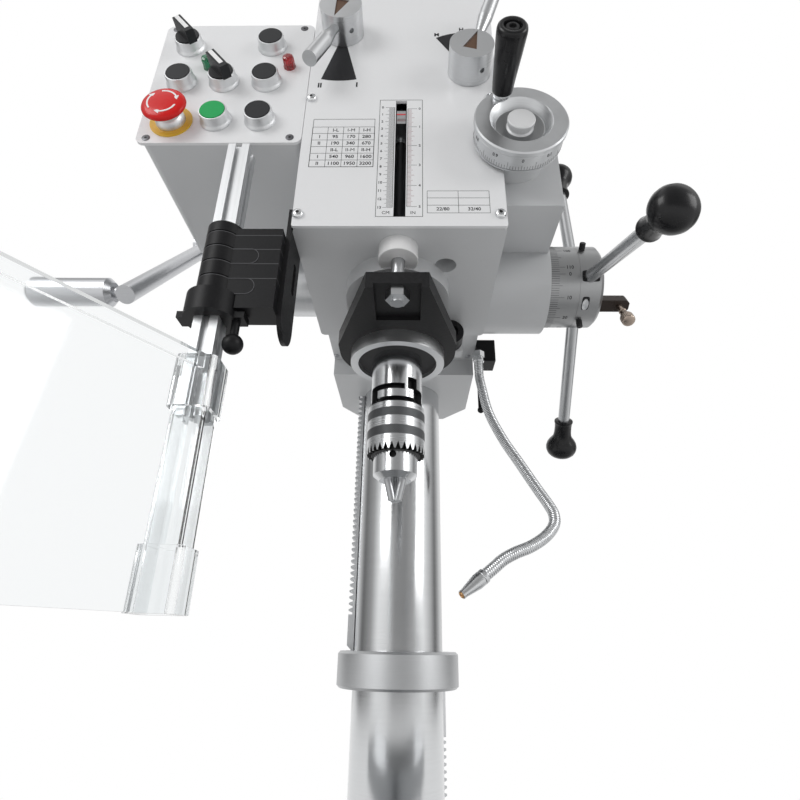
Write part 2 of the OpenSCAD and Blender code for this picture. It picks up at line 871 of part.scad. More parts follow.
// Screws of the plate, the panel, the guard and the neck, and the two clamp bolts with their nuts
module head_screws() {
  color(dark_steel) {
    for (p = plate_screw_places())
      translate([p[0], plate_y, p[1]]) {
        translate([0, -3.5, 0])
          difference() {
            cyl_y(10, 3.5);
            translate([0, -eps, 0])
              cyl_y(4, 2.5 + eps);
          }
        cyl_y(5, plate_t);
      }
    for (p = panel_screw_places())
      translate([p[0], plate_y - 0.4, p[1]]) {
        cyl_y(8, 0.4);
        cyl_y(5, plate_t + 0.4);
      }
    translate([side_left - 7.5, guard_bracket_y, head_z + 14])
      cyl_x(12, 3.5);
    for (x = [head_x - neck_w / 2 + 4, head_x + neck_w / 2 - 8])
      translate([x, clamp_front - 11, neck_z - 2])
        cylinder(d = 7, h = 2);
    for (z = clamp_bolt_z)
      translate([-lug_half, clamp_bolt_y, z])
        rotate([0, 90, 0]) {
          translate([0, 0, -nut_h])
            cylinder(d = nut_d, h = nut_h, $fn = 6);
          translate([0, 0, -nut_h - 4])
            cylinder(d = clamp_bolt_d, h = 2 * lug_half + nut_h + 5);
          translate([0, 0, 2 * lug_half])
            cylinder(d = nut_d, h = 8, $fn = 6);
        }
  }
}

// Flange motor upright on the head, with cooling fins, a fan cover and a terminal box
module motor() {
  flange_h = 12;
  cover_h = 50;
  fin_h = motor_h - flange_h - cover_h;
  fin_l = 9;
  fin_t = 2.4;
  color(paint)
    translate([0, motor_y, head_top]) {
      cylinder(d = motor_d, h = flange_h);
      translate([0, 0, flange_h])
        cylinder(d = motor_d - 2 * fin_l, h = fin_h);
      translate([0, 0, motor_h - cover_h])
        chamfered(motor_d - 6, cover_h, 10);
      for (a = [7.5:15:352.5])
        rotate(a)
          translate([motor_d / 2 - fin_l - 3, -fin_t / 2, flange_h - eps])
            cube([fin_l - 2, fin_t, fin_h + 2 * eps]);
      translate([motor_d / 2 - 15, -35, 60])
        cube([45, 70, 80]);
      translate([0, 0, -motor_spigot_h])
        cylinder(d = motor_spigot_d, h = motor_spigot_h);
    }
}

module motor_pinion() {
  color(steel) {
    translate([0, motor_y, gear_z])
      gear(gear_m, motor_teeth, gear_w, 90);
    translate([0, motor_y, gear_z - 14])
      cylinder(d = 24, h = head_top - motor_spigot_h - 0.3 - gear_z + 14);
  }
}

module spindle_gear() {
  color(steel)
    translate([0, spindle_y, gear_z])
      difference() {
        union() {
          gear(gear_m, spindle_teeth, gear_w, 90 + 180 / spindle_teeth);
          cylinder(d = 54, h = gear_w + 14);
        }
        translate([0, 0, -eps])
          cylinder(d = spline_d + 2 * fit_c, h = gear_w + 20);
      }
}

// Pinion on the upper rack with its worm wheel
module head_pinion() {
  color(steel)
    translate([-rack_pinion_x, 0, crank_z])
      rotate([-90, 0, 0]) {
        translate([0, 0, -rack_w / 2])
          gear(rack_m, rack_teeth_z, rack_w);
        translate([0, 0, worm_y - 14])
          cylinder(d = pinion_shaft_d, h = 14 - worm_y + rack_w / 2 + 8);
        translate([0, 0, worm_y - 12])
          cylinder(r = worm_wheel_r, h = 24);
      }
}

// Crank that raises the head: worm shaft, long arm and grip
module head_crank() {
  grip_l = 90;
  color(steel) {
    translate([-head_crank_x - 11, worm_y, worm_z])
      cyl_x(16, head_crank_x + 11 - 55);
    translate([-rack_pinion_x - 18, worm_y, worm_z])
      cyl_x(2 * worm_r, 36);
    translate([-head_crank_x - 14, worm_y, worm_z])
      cyl_x(38, 28);
    translate([-head_crank_x, worm_y, worm_z])
      rotate([90 + head_crank_a, 0, 0]) {
        cylinder(d = 20, h = head_crank_l);
        translate([0, 0, head_crank_l - 8])
          rotate([0, -90, 0]) {
            cylinder(d = 12, h = 30);
            translate([0, 0, 14])
              barrel(30, grip_l, 5);
          }
      }
  }
}

// Gear lever: round hub with a wedge-shaped recess, and a barrel-shaped lever
module gear_lever(i) {
  turn = lever_angles[i];
  root = lever_hub_d / 2;
  color(aluminium)
    translate([lever_places[i][0], plate_y, lever_places[i][1]]) {
      difference() {
        union() {
          translate([0, -lever_hub_l, 0])
            cyl_y(lever_hub_d, lever_hub_l - 0.3);
          translate([0, -eps, 0])
            cyl_y(lever_shaft_d, plate_t + lever_shaft_l - eps);
        }
        rotate([0, -turn, 0])
          translate([0, -lever_hub_l + 2, 0])
            rotate([90, 0, 0])
              linear_extrude(4)
                polygon([[-8, -7], [root - 2, 0], [-8, 7]]);
        rotate([0, -30, 0])
          translate([0, -lever_hub_l / 2, -root - eps])
            cylinder(d = 5, h = 7);
      }
      translate([0, -lever_hub_l / 2, 0])
        rotate([0, 90 - turn, 0])
          rotate([10, 0, 0]) {
            translate([0, 0, root - 4])
              cylinder(d = 9, h = 12);
            translate([0, 0, root + 7])
              cylinder(d1 = 9, d2 = 15, h = 22);
            translate([0, 0, root + 29])
              cylinder(d = 15, h = lever_l - root - 29);
          }
    }
}

module gear_lever_left() {
  gear_lever(0);
}

module gear_lever_right() {
  gear_lever(1);
}

// Fine feed wheel with its dial ring, dished face, cap and worm shaft
module feed_wheel() {
  rim = 6;
  dish_r = 27.4;
  dish_h = 9;
  cap_r = 12.7;
  color(aluminium)
    translate([wheel_x, wheel_face_y, wheel_z])
      rotate([-90, 0, 0])
        difference() {
          union() {
            cylinder(d = wheel_d, h = rim);
            translate([0, 0, rim - eps])
              cylinder(d = wheel_d - 3, h = wheel_h - rim + eps);
            translate([0, 0, wheel_h - eps])
              cylinder(d = 30, h = sleeve_y - wheel_face_y - wheel_h - 0.3 + eps);
            cylinder(d = wheel_shaft_d, h = wheel_shaft_end - wheel_face_y);
          }
          rotate_extrude()
            polygon([[cap_r, -eps], [dish_r, -eps], [dish_r, 0], [dish_r - 5, dish_h], [cap_r, dish_h]]);
          translate([grip_r * cos(grip_a), -grip_r * sin(grip_a), -eps])
            cylinder(d = grip_bolt_d, h = 14);
        }
}

// Black tapered grip with its bolt, which turns in the wheel's rim
module feed_wheel_grip() {
  collar_h = 5;
  end_h = 4;
  color(black)
    translate([wheel_x + grip_r * cos(grip_a), wheel_face_y, wheel_z + grip_r * sin(grip_a)])
      rotate([90, 0, 0]) {
        translate([0, 0, -12])
          cylinder(d = grip_bolt_d - 2 * fit_c, h = 20);
        translate([0, 0, 0.3])
          cylinder(d = 14, h = collar_h);
        difference() {
          union() {
            translate([0, 0, collar_h])
              cylinder(d1 = 19, d2 = grip_d, h = grip_l - collar_h - end_h);
            translate([0, 0, grip_l - end_h])
              cylinder(d1 = grip_d, d2 = grip_d - 4, h = end_h);
          }
          translate([0, 0, grip_l - 5])
            cylinder(d = 15, h = 5 + eps);
        }
        translate([0, 0, grip_l - 6])
          cylinder(d = 12, h = 4);
      }
}

module feed_dial() {
  color(aluminium)
    translate([hub_x, feed_y, feed_z])
      rotate([0, 90, 0])
        ring(hub_d, feed_shaft_d + 2 * fit_c, dial_w);
}

// Place of spoke k, with its length along +Z
module at_spoke(k) {
  translate([spoke_x, feed_y, feed_z])
    rotate([spoke_a0 + 120 * k, 0, 0])
      rotate([-90, 0, 0])
        rotate([0, spoke_tilt, 0])
          children();
}

// Feed hub in one piece with the pinion shaft and the fine feed's gear; the spokes enter its rim
module feed_hub() {
  shaft_x = side_left - cap_boss_l + 20;
  color(steel)
    difference() {
      translate([0, feed_y, feed_z]) {
        translate([shaft_x, 0, 0])
          cyl_x(feed_shaft_d, hub_x + dial_w - shaft_x + eps);
        translate([-20, 0, 0])
          rotate([0, 90, 0])
            gear(quill_m, quill_teeth, 40, 90);
        translate([wheel_x - fine_gear_w / 2, 0, 0])
          cyl_x(2 * fine_gear_r, fine_gear_w);
        translate([hub_x + dial_w + 0.2, 0, 0])
          rotate([0, 90, 0])
            chamfered(hub_d, hub_w, 4);
      }
      for (k = [0:2])
        at_spoke(k)
          translate([0, 0, 24])
            cylinder(d = spoke_d + 2 * fit_c, h = 60);
    }
}

module feed_spokes() {
  color(dark_steel)
    for (k = [0:2])
      at_spoke(k)
        translate([0, 0, 24])
          cylinder(d = spoke_d, h = spoke_l - 24 - 12);
}

// Ball knobs with a flared collar
module spoke_knobs() {
  ball_r = 21;
  color(black)
    for (k = [0:2])
      at_spoke(k)
        translate([0, 0, spoke_l])
          rotate_extrude()
            difference() {
              intersection() {
                union() {
                  circle(ball_r);
                  polygon([[0, -40], [13, -40], [11, -24], [13, -12], [0, -12]]);
                }
                translate([0, -60])
                  square([30, 120]);
              }
              translate([0, -50])
                square([spoke_d / 2 + fit_c, 38]);
            }
}

// Square clutch bar with its knurled screw, and the bolt on the feed shaft's end
module feed_clutch() {
  bar = 15;
  bar_l = 37;
  bar_a = 60;
  screw_l = 46;
  head_l = 12;
  bar_x = hub_x + dial_w + hub_w + 0.2;
  color(brass)
    translate([bar_x, feed_y, feed_z]) {
      translate([0, -7, -28])
        rotate([bar_a, 0, 0]) {
          translate([0, -bar / 2, -bar / 2])
            cube([bar_l, bar, bar]);
          translate([bar_l - 12, -screw_l + head_l - eps, 0])
            cyl_y(7, screw_l - head_l + bar / 2 + 4);
          translate([bar_l - 12, -screw_l, 0])
            cyl_y(15, head_l);
        }
      cyl_x(16, 8);
    }
}

// Quill with the feed rack on its back
module quill() {
  pinion_z = feed_z;
  p = PI * quill_m;
  first = ceil((head_z + 30 - pinion_z) / p);
  last = floor((quill_top - 2 - pinion_z) / p);
  q = p / 4 + thin / 4;
  color(steel)
    difference() {
      translate([0, spindle_y, quill_z])
        cylinder(d = quill_d, h = quill_top - quill_z);
      translate([0, spindle_y, quill_z - eps])
        cylinder(d = spindle_d + 4, h = quill_top);
      translate([0, spindle_y, quill_top - upper_bearing_w])
        cylinder(d = upper_bearing_d, h = upper_bearing_w + eps);
      translate([-quill_d / 4, spindle_y + quill_pitch_r - dedendum * quill_m, pinion_z + last * p])
        cube([quill_d / 2, 10, quill_top - pinion_z - last * p + eps]);
      translate([-quill_d / 4, spindle_y + quill_pitch_r, pinion_z])
        rotate([90, 0, 90])
          linear_extrude(quill_d / 2)
            for (k = [first:last])
              translate([0, k * p])
                polygon([[-dedendum * quill_m, -q + dedendum * quill_m * tan(press_a)],
                  [4, -q - 4 * tan(press_a)], [4, q + 4 * tan(press_a)],
                  [-dedendum * quill_m, q - dedendum * quill_m * tan(press_a)]]);
    }
}

module quill_ring() {
  lip = 2;
  color(steel)
    translate([0, spindle_y, ring_z])
      difference() {
        cylinder(d = ring_d, h = ring_h);
        translate([0, 0, -eps])
          cylinder(d = lower_bearing_d, h = ring_h - lip + eps);
        cylinder(d = 60, h = ring_h + eps);
      }
}

// Recess in the spindle's nose between two angles from the front and two heights over its end
module nose_slot(a0, a1, z0, z1) {
  r = nose_d;
  am = (a0 + a1) / 2;
  translate([0, 0, nose_z + z0])
    difference() {
      linear_extrude(z1 - z0)
        polygon([[0, 0], [r * sin(a0), -r * cos(a0)], [r * sin(am), -r * cos(am)],
          [r * sin(a1), -r * cos(a1)]]);
      translate([0, 0, -eps])
        cylinder(d = nose_d - 13, h = z1 - z0 + 2 * eps);
    }
}

// Spindle: nose with stepped slots and a tapered bore, shaft and drive end
module spindle() {
  bearing_top = ring_z + 4.7 + bearing_w;
  color(steel)
    translate([0, spindle_y, 0])
      difference() {
        union() {
          translate([0, 0, nose_z])
            cylinder(d = nose_d, h = nose_top - nose_z);
          translate([0, 0, nose_top])
            cylinder(d = lower_seat_d, h = bearing_top - nose_top);
          translate([0, 0, bearing_top])
            cylinder(d = spindle_d, h = quill_top - upper_bearing_w - bearing_top);
          translate([0, 0, quill_top - upper_bearing_w])
            cylinder(d = upper_seat_d, h = upper_bearing_w + 2);
          translate([0, 0, quill_top])
            cylinder(d = spline_d, h = spindle_top - quill_top);
        }
        translate([0, 0, nose_z - eps])
          cylinder(d1 = arbor_d, d2 = arbor_top_d, h = arbor_l);
        translate([0, 0, nose_z])
          cylinder(d = 14, h = spindle_top);
        translate([0, 0, nose_z - eps])
          cylinder(d = nose_d - 8, h = 4);
        for (a = [0, 180])
          rotate(a) {
            nose_slot(-74, -45, -eps, 14);
            nose_slot(-74, 19, 8, 14);
            nose_slot(41, 79, -eps, 11);
            nose_slot(26, 51, 9, 22);
          }
      }
}

module spindle_bearings() {
  color(dark_steel) {
    translate([0, spindle_y, nose_top])
      ring(lower_bearing_d, lower_seat_d + 2 * fit_c, bearing_w);
    translate([0, spindle_y, quill_top - upper_bearing_w])
      ring(upper_bearing_d, upper_seat_d + 2 * fit_c, upper_bearing_w);
  }
}

// Direction and foot of jaw k: the jaws lean together towards the tip
module at_jaw(k) {
  translate([0, spindle_y, jaw_tip_z])
    rotate(90 + 120 * k)
      translate([jaw_r, 0, 0])
        rotate([0, jaw_a, 0])
          children();
}

// Chuck body with its taper arbor, three jaw bores and key holes
module chuck_body() {
  c = 5;
  body_top = sleeve_top - sleeve_lid - 0.3;
  color(steel)
    difference() {
      translate([0, spindle_y, 0]) {
        translate([0, 0, chuck_nose_z])
          cylinder(d1 = chuck_body_d - 12, d2 = chuck_body_d, h = c);
        translate([0, 0, chuck_nose_z + c])
          cylinder(d = chuck_body_d, h = body_top - chuck_nose_z - c);
        translate([0, 0, body_top - eps])
          cylinder(d = arbor_d - 2 * fit_c, h = nose_z - body_top + eps);
        translate([0, 0, nose_z])
          cylinder(d1 = arbor_d - 2 * fit_c, d2 = arbor_top_d, h = arbor_l - 3);
      }
      for (k = [0:2])
        at_jaw(k)
          translate([0, 0, 8])
            cylinder(d = jaw_d + 2 * fit_c, h = jaw_l + jaw_travel - 1);
      for (k = [0:2])
        translate([0, spindle_y, sleeve_top - sleeve_h - 3.6])
          rotate(-96 + 120 * k)
            translate([chuck_body_d / 2 - 5, 0, 0])
              cyl_x(7, 10);
    }
}

// Geared sleeve with its ring of bevel teeth
module chuck_sleeve() {
  teeth = 30;
  tooth_h = 8;
  color(steel)
    translate([0, spindle_y, sleeve_top - sleeve_h])
      difference() {
        cylinder(d = chuck_d, h = sleeve_h);
        translate([0, 0, -eps])
          cylinder(d = chuck_body_d + 2 * fit_c, h = sleeve_seat + 2 * eps);
        translate([0, 0, sleeve_seat])
          cylinder(d = jaw_room_d, h = sleeve_h - sleeve_seat - sleeve_lid);
        cylinder(d = arbor_d + 1, h = sleeve_h + eps);
        for (k = [0:teeth - 1])
          rotate(360 / teeth * k)
            translate([chuck_d / 2 - 4.5, 0, -eps])
              rotate([90, 0, 90])
                linear_extrude(10)
                  polygon([[-2.6, 0], [0, tooth_h], [2.6, 0]]);
      }
}

module chuck_jaw(k) {
  color(steel)
    intersection() {
      at_jaw(k)
        translate([0, 0, -3])
          cylinder(d = jaw_d, h = jaw_l);
      translate([0, spindle_y, jaw_tip_z])
        rotate(90 + 120 * k)
          linear_extrude(jaw_l)
            polygon([[0.3, 0], [60, -60 * tan(59)], [60, 60 * tan(59)]]);
    }
}

// Stop yoke: ring round the quill with a bracket that the depth rod hangs in
module stop_yoke() {
  half = 28;
  side = 7;
  color(black)
    difference() {
      union() {
        translate([0, spindle_y, quill_z])
          cylinder(r = yoke_r, h = yoke_h);
        translate([0, 0, quill_z])
          linear_extrude(flange_z + flange_t - quill_z)
            polygon([[rod_x - half, yoke_front], [rod_x + half, yoke_front], [yoke_r, spindle_y - 18],
              [yoke_r, spindle_y], [-yoke_r, spindle_y], [-yoke_r, spindle_y - 18]]);
      }
      translate([0, spindle_y, quill_z - eps])
        cylinder(d = quill_d + 2 * fit_c, h = yoke_h + 10);
      translate([rod_x - half + side, yoke_front - eps, quill_z - eps])
        cube([2 * (half - side), rod_y + 40 - yoke_front, flange_z - quill_z + eps]);
      translate([rod_x, rod_y, quill_z])
        cylinder(d = rod_d + 2 * fit_c, h = 40);
    }
}

// Depth rod with the nut under the yoke and the pointer in the plate's slot
module depth_rod() {
  pointer_z = head_z + 143;
  color(steel) {
    translate([rod_x, rod_y, quill_z - 8])
      cylinder(d = rod_d, h = 242);
    translate([rod_x, rod_y, flange_z - 9])
      cylinder(d = nut_d, h = 9, $fn = 6);
    translate([rod_x, rod_y, flange_z + flange_t])
      cylinder(d = 20, h = 3);
    translate([rod_x + 1 - 4.5, casting_y + 1.5, pointer_z - 9])
      cube([9, rod_y - casting_y, 18]);
  }
}

// Black clamp screw for the quill, in a lug under the head
module quill_lock() {
  color(black)
    translate([lock_x, lock_y, lock_z]) {
      difference() {
        cyl_y(lock_d, lock_h);
        translate([0, -eps, 0])
          cyl_y(18, 6 + eps);
      }
      translate([0, lock_h - eps, 0])
        cyl_y(10, 15 + eps);
    }
}

// Guard bracket: plate on the head's left side with a slot, round at its lower end
module guard_bracket() {
  z0 = head_z - 84;
  z1 = head_z + 22;
  slot_w = 9;
  slot_z = [head_z - 48, head_z - 24];
  color(black)
    translate([side_left - guard_bracket_t, guard_bracket_y, 0])
      rotate([90, 0, 90])
        linear_extrude(guard_bracket_t)
          difference() {
            union() {
              translate([-guard_bracket_w / 2, z0])
                square([guard_bracket_w, z1 - z0]);
              translate([0, z0])
                circle(d = guard_bracket_w);
            }
            translate([6 - slot_w / 2, slot_z[0]])
              square([slot_w, slot_z[1] - slot_z[0]]);
            for (z = slot_z)
              translate([6, z])
                circle(d = slot_w);
          }
}

// Clamp block with the grooved sleeve that the pole turns in
module guard_clamp() {
  block_z = clamp_bottom - 14;
  groove = 1.2;
  color(black)
    difference() {
      union() {
        difference() {
          translate([pole_x, pole_y, clamp_bottom])
            cylinder(d = clamp_d, h = clamp_top - clamp_bottom);
          for (k = [1:4])
            translate([pole_x, pole_y, clamp_bottom + k * 15])
              ring(clamp_d + 2, clamp_d - 1.4, groove);
        }
        translate([pole_x, clamp_face_y, block_z])
          cube([side_left - guard_bracket_t - pole_x, 26, clamp_top - 4 - block_z]);
      }
      translate([pole_x, pole_y, block_z - eps])
        cylinder(d = clamp_bore, h = 120);
      translate([pole_x, pole_y, block_z - eps])
        cylinder(d = collar_ring_d + 2, h = clamp_bottom - block_z + eps);
    }
}

// Swivel collar that turns with the pole, its ear and its ball-headed clamp screw
module guard_collar() {
  z0 = clamp_bottom - 0.3 - collar_ring_h;
  ear_x = 21;
  ball_z = head_z - 119;
  color(black)
    difference() {
      union() {
        translate([pole_x, pole_y, z0])
          cylinder(d = collar_ring_d, h = collar_ring_h);
        translate([pole_x, pole_y - 7, z0])
          cube([ear_x + 8, 14, 6]);
        translate([pole_x - ear_x - 5, pole_y - 7, z0])
          cube([ear_x, 14, 6]);
        translate([pole_x + ear_x, pole_y, ball_z])
          cylinder(d = 7, h = z0 - ball_z + 3);
        translate([pole_x + ear_x, pole_y, ball_z])
          sphere(d = 17);
      }
      translate([pole_x - pole_s / 2 - slide_c, pole_y - pole_s / 2 - slide_c, ball_z - 20])
        cube([pole_s + 2 * slide_c, pole_s + 2 * slide_c, 120]);
    }
}

// Slotted square pole
module guard_pole() {
  slot_w = 6;
  slot_d = 4;
  lip = 1.5;
  slot_l = pole_top - pole_bottom + 2 * eps;
  color(aluminium)
    difference() {
      translate([pole_x - pole_s / 2, pole_y - pole_s / 2, pole_bottom])
        cube([pole_s, pole_s, pole_top - pole_bottom]);
      for (a = [0:90:270])
        translate([pole_x, pole_y, pole_bottom - eps])
          rotate(a) {
            translate([-slot_w / 2, -pole_s / 2 - eps, 0])
              cube([slot_w, slot_d + eps, slot_l]);
            translate([-slot_w / 2 - lip, -pole_s / 2 + lip, 0])
              cube([slot_w + 2 * lip, slot_d - lip, slot_l]);
          }
    }
}

// Clear shield: channel on the pole, sheet with a lip along its top, and two tabs
module guard_shield() {
  lip = 3;
  tab_h = 42;
  color([0.9, 0.95, 0.95, 0.35])
    difference() {
      translate([pole_x, pole_y, shield_z]) {
        linear_extrude(shield_h)
          round_rect(channel, channel, 4);
        rotate(shield_a) {
          translate([0, channel / 2 - shield_t, 0])
            cube([shield_l, shield_t, shield_h]);
          translate([0, channel / 2 - shield_t, shield_h - 12])
            cube([shield_l, shield_t + lip, 12]);
        }
        for (z = [0, shield_h - tab_h])
          translate([0, 0, z])
            linear_extrude(tab_h)
              round_rect(channel + 2 * lip, channel + 2 * lip, 5);
      }
      translate([pole_x - pole_s / 2 - fit_c, pole_y - pole_s / 2 - fit_c, shield_z - eps])
        cube([pole_s + 2 * fit_c, pole_s + 2 * fit_c, shield_h + 2 * eps]);
    }
}

// Steel box behind the control panel, open at the front
module control_box() {
  t = 3;
  y0 = plate_y + plate_t;
  color(paint)
    difference() {
      front_block(panel_left + 5, side_left, panel_z + 0.5, panel_z + panel_h - 2, y0, box_depth, panel_r);
      front_block(panel_left + 5 + t, side_left - t, panel_z + 0.5 + t, panel_z + panel_h - 2 - t,
        y0 - eps, box_depth - t + eps, panel_r - t);
    }
}

module control_panel() {
  color(plate_white)
    difference() {
      front_block(panel_left, panel_right, panel_z, panel_z + panel_h, plate_y, plate_t, panel_r);
      for (p = panel_screw_places())
        translate([p[0], plate_y - eps, p[1]])
          cyl_y(5, plate_t + 2 * eps);
      for (p = fitting_places())
        translate([p[0], plate_y - eps, p[1]])
          cyl_y(neck_d, plate_t + 2 * eps);
    }
}

// Places of the seven round fittings and of the emergency stop
function fitting_places() =
  [[grid_x[0], grid_z[2]], [grid_x[2], grid_z[2]], [grid_x[0], grid_z[1]], [grid_x[1], grid_z[1]],
    [grid_x[2], grid_z[1]], [grid_x[1], grid_z[0]], [grid_x[2], grid_z[0]], [grid_x[0], grid_z[0] - 2]];
function lamp_places() =
  [[grid_x[0] + 20, grid_z[1] + 27], [grid_x[2] + 22, grid_z[1] + 27]];

// Bezels with their necks, the stop button's collar and disc, and the two lamps
module panel_fittings() {
  color(steel) {
    for (p = fitting_places())
      translate([p[0], plate_y, p[1]])
        difference() {
          union() {
            translate([0, -bezel_h, 0])
              cyl_y(bezel_d, bezel_h);
            cyl_y(neck_d, 22);
          }
          translate([0, -bezel_h - eps, 0])
            cyl_y(button_d + 2 * fit_c, bezel_h - 2 + eps);
          translate([0, -bezel_h - eps, 0])
            cyl_y(stem_d + 2 * fit_c, bezel_h + 20);
        }
    translate([fitting_places()[7][0], plate_y - 1.5, fitting_places()[7][1]])
      rotate([-90, 0, 0])
        ring(stop_d - 1, bezel_d - eps, 1.5);
  }
  color("red")
    for (p = lamp_places())
      translate([p[0], plate_y - 12, p[1]])
        cyl_y(lamp_d, 12);
}

module push_button(i, tint) {
  p = fitting_places()[i];
  color(tint)
    translate([p[0], plate_y, p[1]]) {
      translate([0, -bezel_h - 0.5, 0])
        cyl_y(button_d, 5.5);
      translate([0, -bezel_h, 0])
        cyl_y(stem_d, 24);
    }
}

module push_button_1() {
  push_button(1, black);
}

module push_button_2() {
  push_button(2, black);
}

module push_button_3() {
  push_button(4, black);
}

module push_button_4() {
  push_button(6, black);
}

module start_button() {
  push_button(5, [0.1, 0.6, 0.3]);
}

// Selector: round base and a bar handle turned by a degrees
module selector(i, a) {
  p = fitting_places()[i];
  color(black)
    translate([p[0], plate_y - bezel_h, p[1]]) {
      translate([0, -1.5, 0])
        cyl_y(button_d, 10.5);
      cyl_y(stem_d, 24);
      rotate([0, a, 0])
        translate([-4.5, -14, -15])
          cube([9, 13.5, 29]);
    }
}

module selector_1() {
  selector(0, -38);
}

module selector_2() {
  selector(3, -38);
}

module stop_button() {
  p = fitting_places()[7];
  color("red")
    translate([p[0], plate_y, p[1]]) {
      translate([0, -18, 0])
        cyl_y(stem_d, 28);
      translate([0, -18, 0])
        cyl_y(neck_d, 11);
      translate([0, -20.2, 0])
        cyl_y(stop_d, 4);
      translate([0, -23.5, 0])
        rotate([-90, 0, 0])
          cylinder(d1 = 30, d2 = stop_d, h = 3.3);
    }
}

// Coolant valve on the neck's right side, with the ferrule that the hose leaves
module coolant_valve() {
  color(black)
    difference() {
      union() {
        translate([valve_x, valve_y, valve_z])
          cube(valve_s);
        translate(hose_route[0])
          cylinder(d = ferrule_d, h = ferrule_h);
      }
      translate([tap_x, valve_y + valve_s[1] - 14, tap_z])
        cyl_y(tap_d + 2 * fit_c, 14 + eps);
    }
}

module coolant_tap() {
  back_y = valve_y + valve_s[1];
  lever_l = 74;
  color(black) {
    translate([tap_x, back_y - 13, tap_z])
      cyl_y(tap_d, 19);
    translate([tap_x - 3, back_y + 2, tap_z - lever_l])
      cube([6, 4, lever_l]);
    translate([tap_x, back_y + 4, tap_z - lever_l])
      sphere(d = 9);
  }
}

// Points of the hose's middle line: straight runs with smooth turns between the route's points
function spline(a, b, c, d, t) =
  b + 0.5 * t * (c - a + t * (2 * a - 5 * b + 4 * c - d + t * (3 * (b - c) + d - a)));
function unit(v) = v / norm(v);
route_n = len(hose_route);
function route_point(i) = hose_route[max(0, min(route_n - 1, i))];
function hose_point(s) =
  let (i = min(route_n - 2, floor(s)))
  spline(route_point(i - 1), route_point(i), route_point(i + 1), route_point(i + 2), s - i);

// Steps of equal length along the hose
fine_n = 12 * (route_n - 1);
fine = [for (i = [0:fine_n]) hose_point(i / 12)];
function lengths(i, sum) =
  i > fine_n ? [] : concat([sum], lengths(i + 1, sum + (i < fine_n ? norm(fine[i + 1] - fine[i]) : 0)));
along = lengths(0, 0);
hose_l = along[fine_n];
function fine_at(s, i = 0) = i >= fine_n - 1 || along[i + 1] > s ? i : fine_at(s, i + 1);
function on_hose(s) =
  let (i = fine_at(s), t = (s - along[i]) / (along[i + 1] - along[i]))
  fine[i] + (fine[i + 1] - fine[i]) * min(1, t);
ribs = floor(hose_l / rib_pitch);
hose_rings = 2 * ribs + 1;
function hose_dir(s) =
  s < 1 ? [0, 0, -1] : unit(on_hose(min(hose_l, s + 1)) - on_hose(s - 1));
function hose_ring(s, r) =
  let (c = on_hose(s), w = hose_dir(s), u = unit(cross(w, [0, 1, 0])), v = cross(w, u))
  [for (k = [0:hose_sides - 1]) c + r * (cos(360 / hose_sides * k) * u + sin(360 / hose_sides * k) * v)];
function skin(rings, first) =
  [for (i = [0:rings - 2], k = [0:hose_sides - 1])
    let (a = first + i * hose_sides + k, b = first + i * hose_sides + (k + 1) % hose_sides)
    each [[a, b, b + hose_sides], [a, b + hose_sides, a + hose_sides]]];
function end_ring(out, inn) =
  [for (k = [0:hose_sides - 1])
    let (j = (k + 1) % hose_sides) each [[out + j, out + k, inn + k], [out + j, inn + k, inn + j]]];
function flipped(faces) = [for (f = faces) [f[2], f[1], f[0]]];

// Ribbed hose with its bore, one closed skin
module coolant_hose() {
  bore_rings = bore_steps + 1;
  first_bore = hose_rings * hose_sides;
  outer = [for (i = [0:hose_rings - 1])
    each hose_ring(hose_l * i / (hose_rings - 1), hose_d / 2 - (i % 2 == 0 ? rib_h : 0))];
  inner = [for (i = [0:bore_steps]) each hose_ring(hose_l * i / bore_steps, hose_bore / 2)];
  faces = concat(skin(hose_rings, 0), flipped(skin(bore_rings, first_bore)), end_ring(0, first_bore),
    flipped(end_ring((hose_rings - 1) * hose_sides, first_bore + bore_steps * hose_sides)));
  color(steel)
    polyhedron(points = concat(outer, inner), faces = faces);
}

// Tapered nozzle on the hose's end
module coolant_nozzle() {
  tip = hose_route[route_n - 1];
  dir = hose_dir(hose_l);
  turn_z = atan2(dir[1], dir[0]);
  turn_y = acos(dir[2]);
  color(steel)
    translate(tip)
      rotate([0, turn_y, turn_z])
        difference() {
          union() {
            cylinder(d = 14, h = 10);
            translate([0, 0, 10])
              cylinder(d1 = 14, d2 = 7, h = 20);
          }
          translate([0, 0, -eps])
            cylinder(d = 4, h = 32);
        }
}

base();
column();
stop_collar();
rack_upper();
rack_lower();
table_bracket();
table_crank();
saddle();
work_table();
saddle_screw();
table_screw();
head_casting();
front_plate();
head_screws();
motor();
motor_pinion();
spindle_gear();
head_pinion();
head_crank();
gear_lever_left();
gear_lever_right();
feed_wheel();
feed_wheel_grip();
feed_dial();
feed_hub();
feed_spokes();
spoke_knobs();
feed_clutch();
quill();
quill_ring();
spindle();
spindle_bearings();
chuck_body();
chuck_sleeve();
chuck_jaw(0);  // chuck_jaw_1
chuck_jaw(1);  // chuck_jaw_2
chuck_jaw(2);  // chuck_jaw_3
stop_yoke();
depth_rod();
quill_lock();
guard_bracket();
guard_clamp();
guard_collar();
guard_pole();
guard_shield();
control_box();
control_panel();
panel_fittings();
push_button_1();
push_button_2();
push_button_3();
push_button_4();
start_button();
selector_1();
selector_2();
stop_button();
coolant_valve();
coolant_tap();
coolant_hose();
coolant_nozzle();
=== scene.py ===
import json
import math

import bmesh
import bpy
import numpy as np
from mathutils import Matrix, Vector

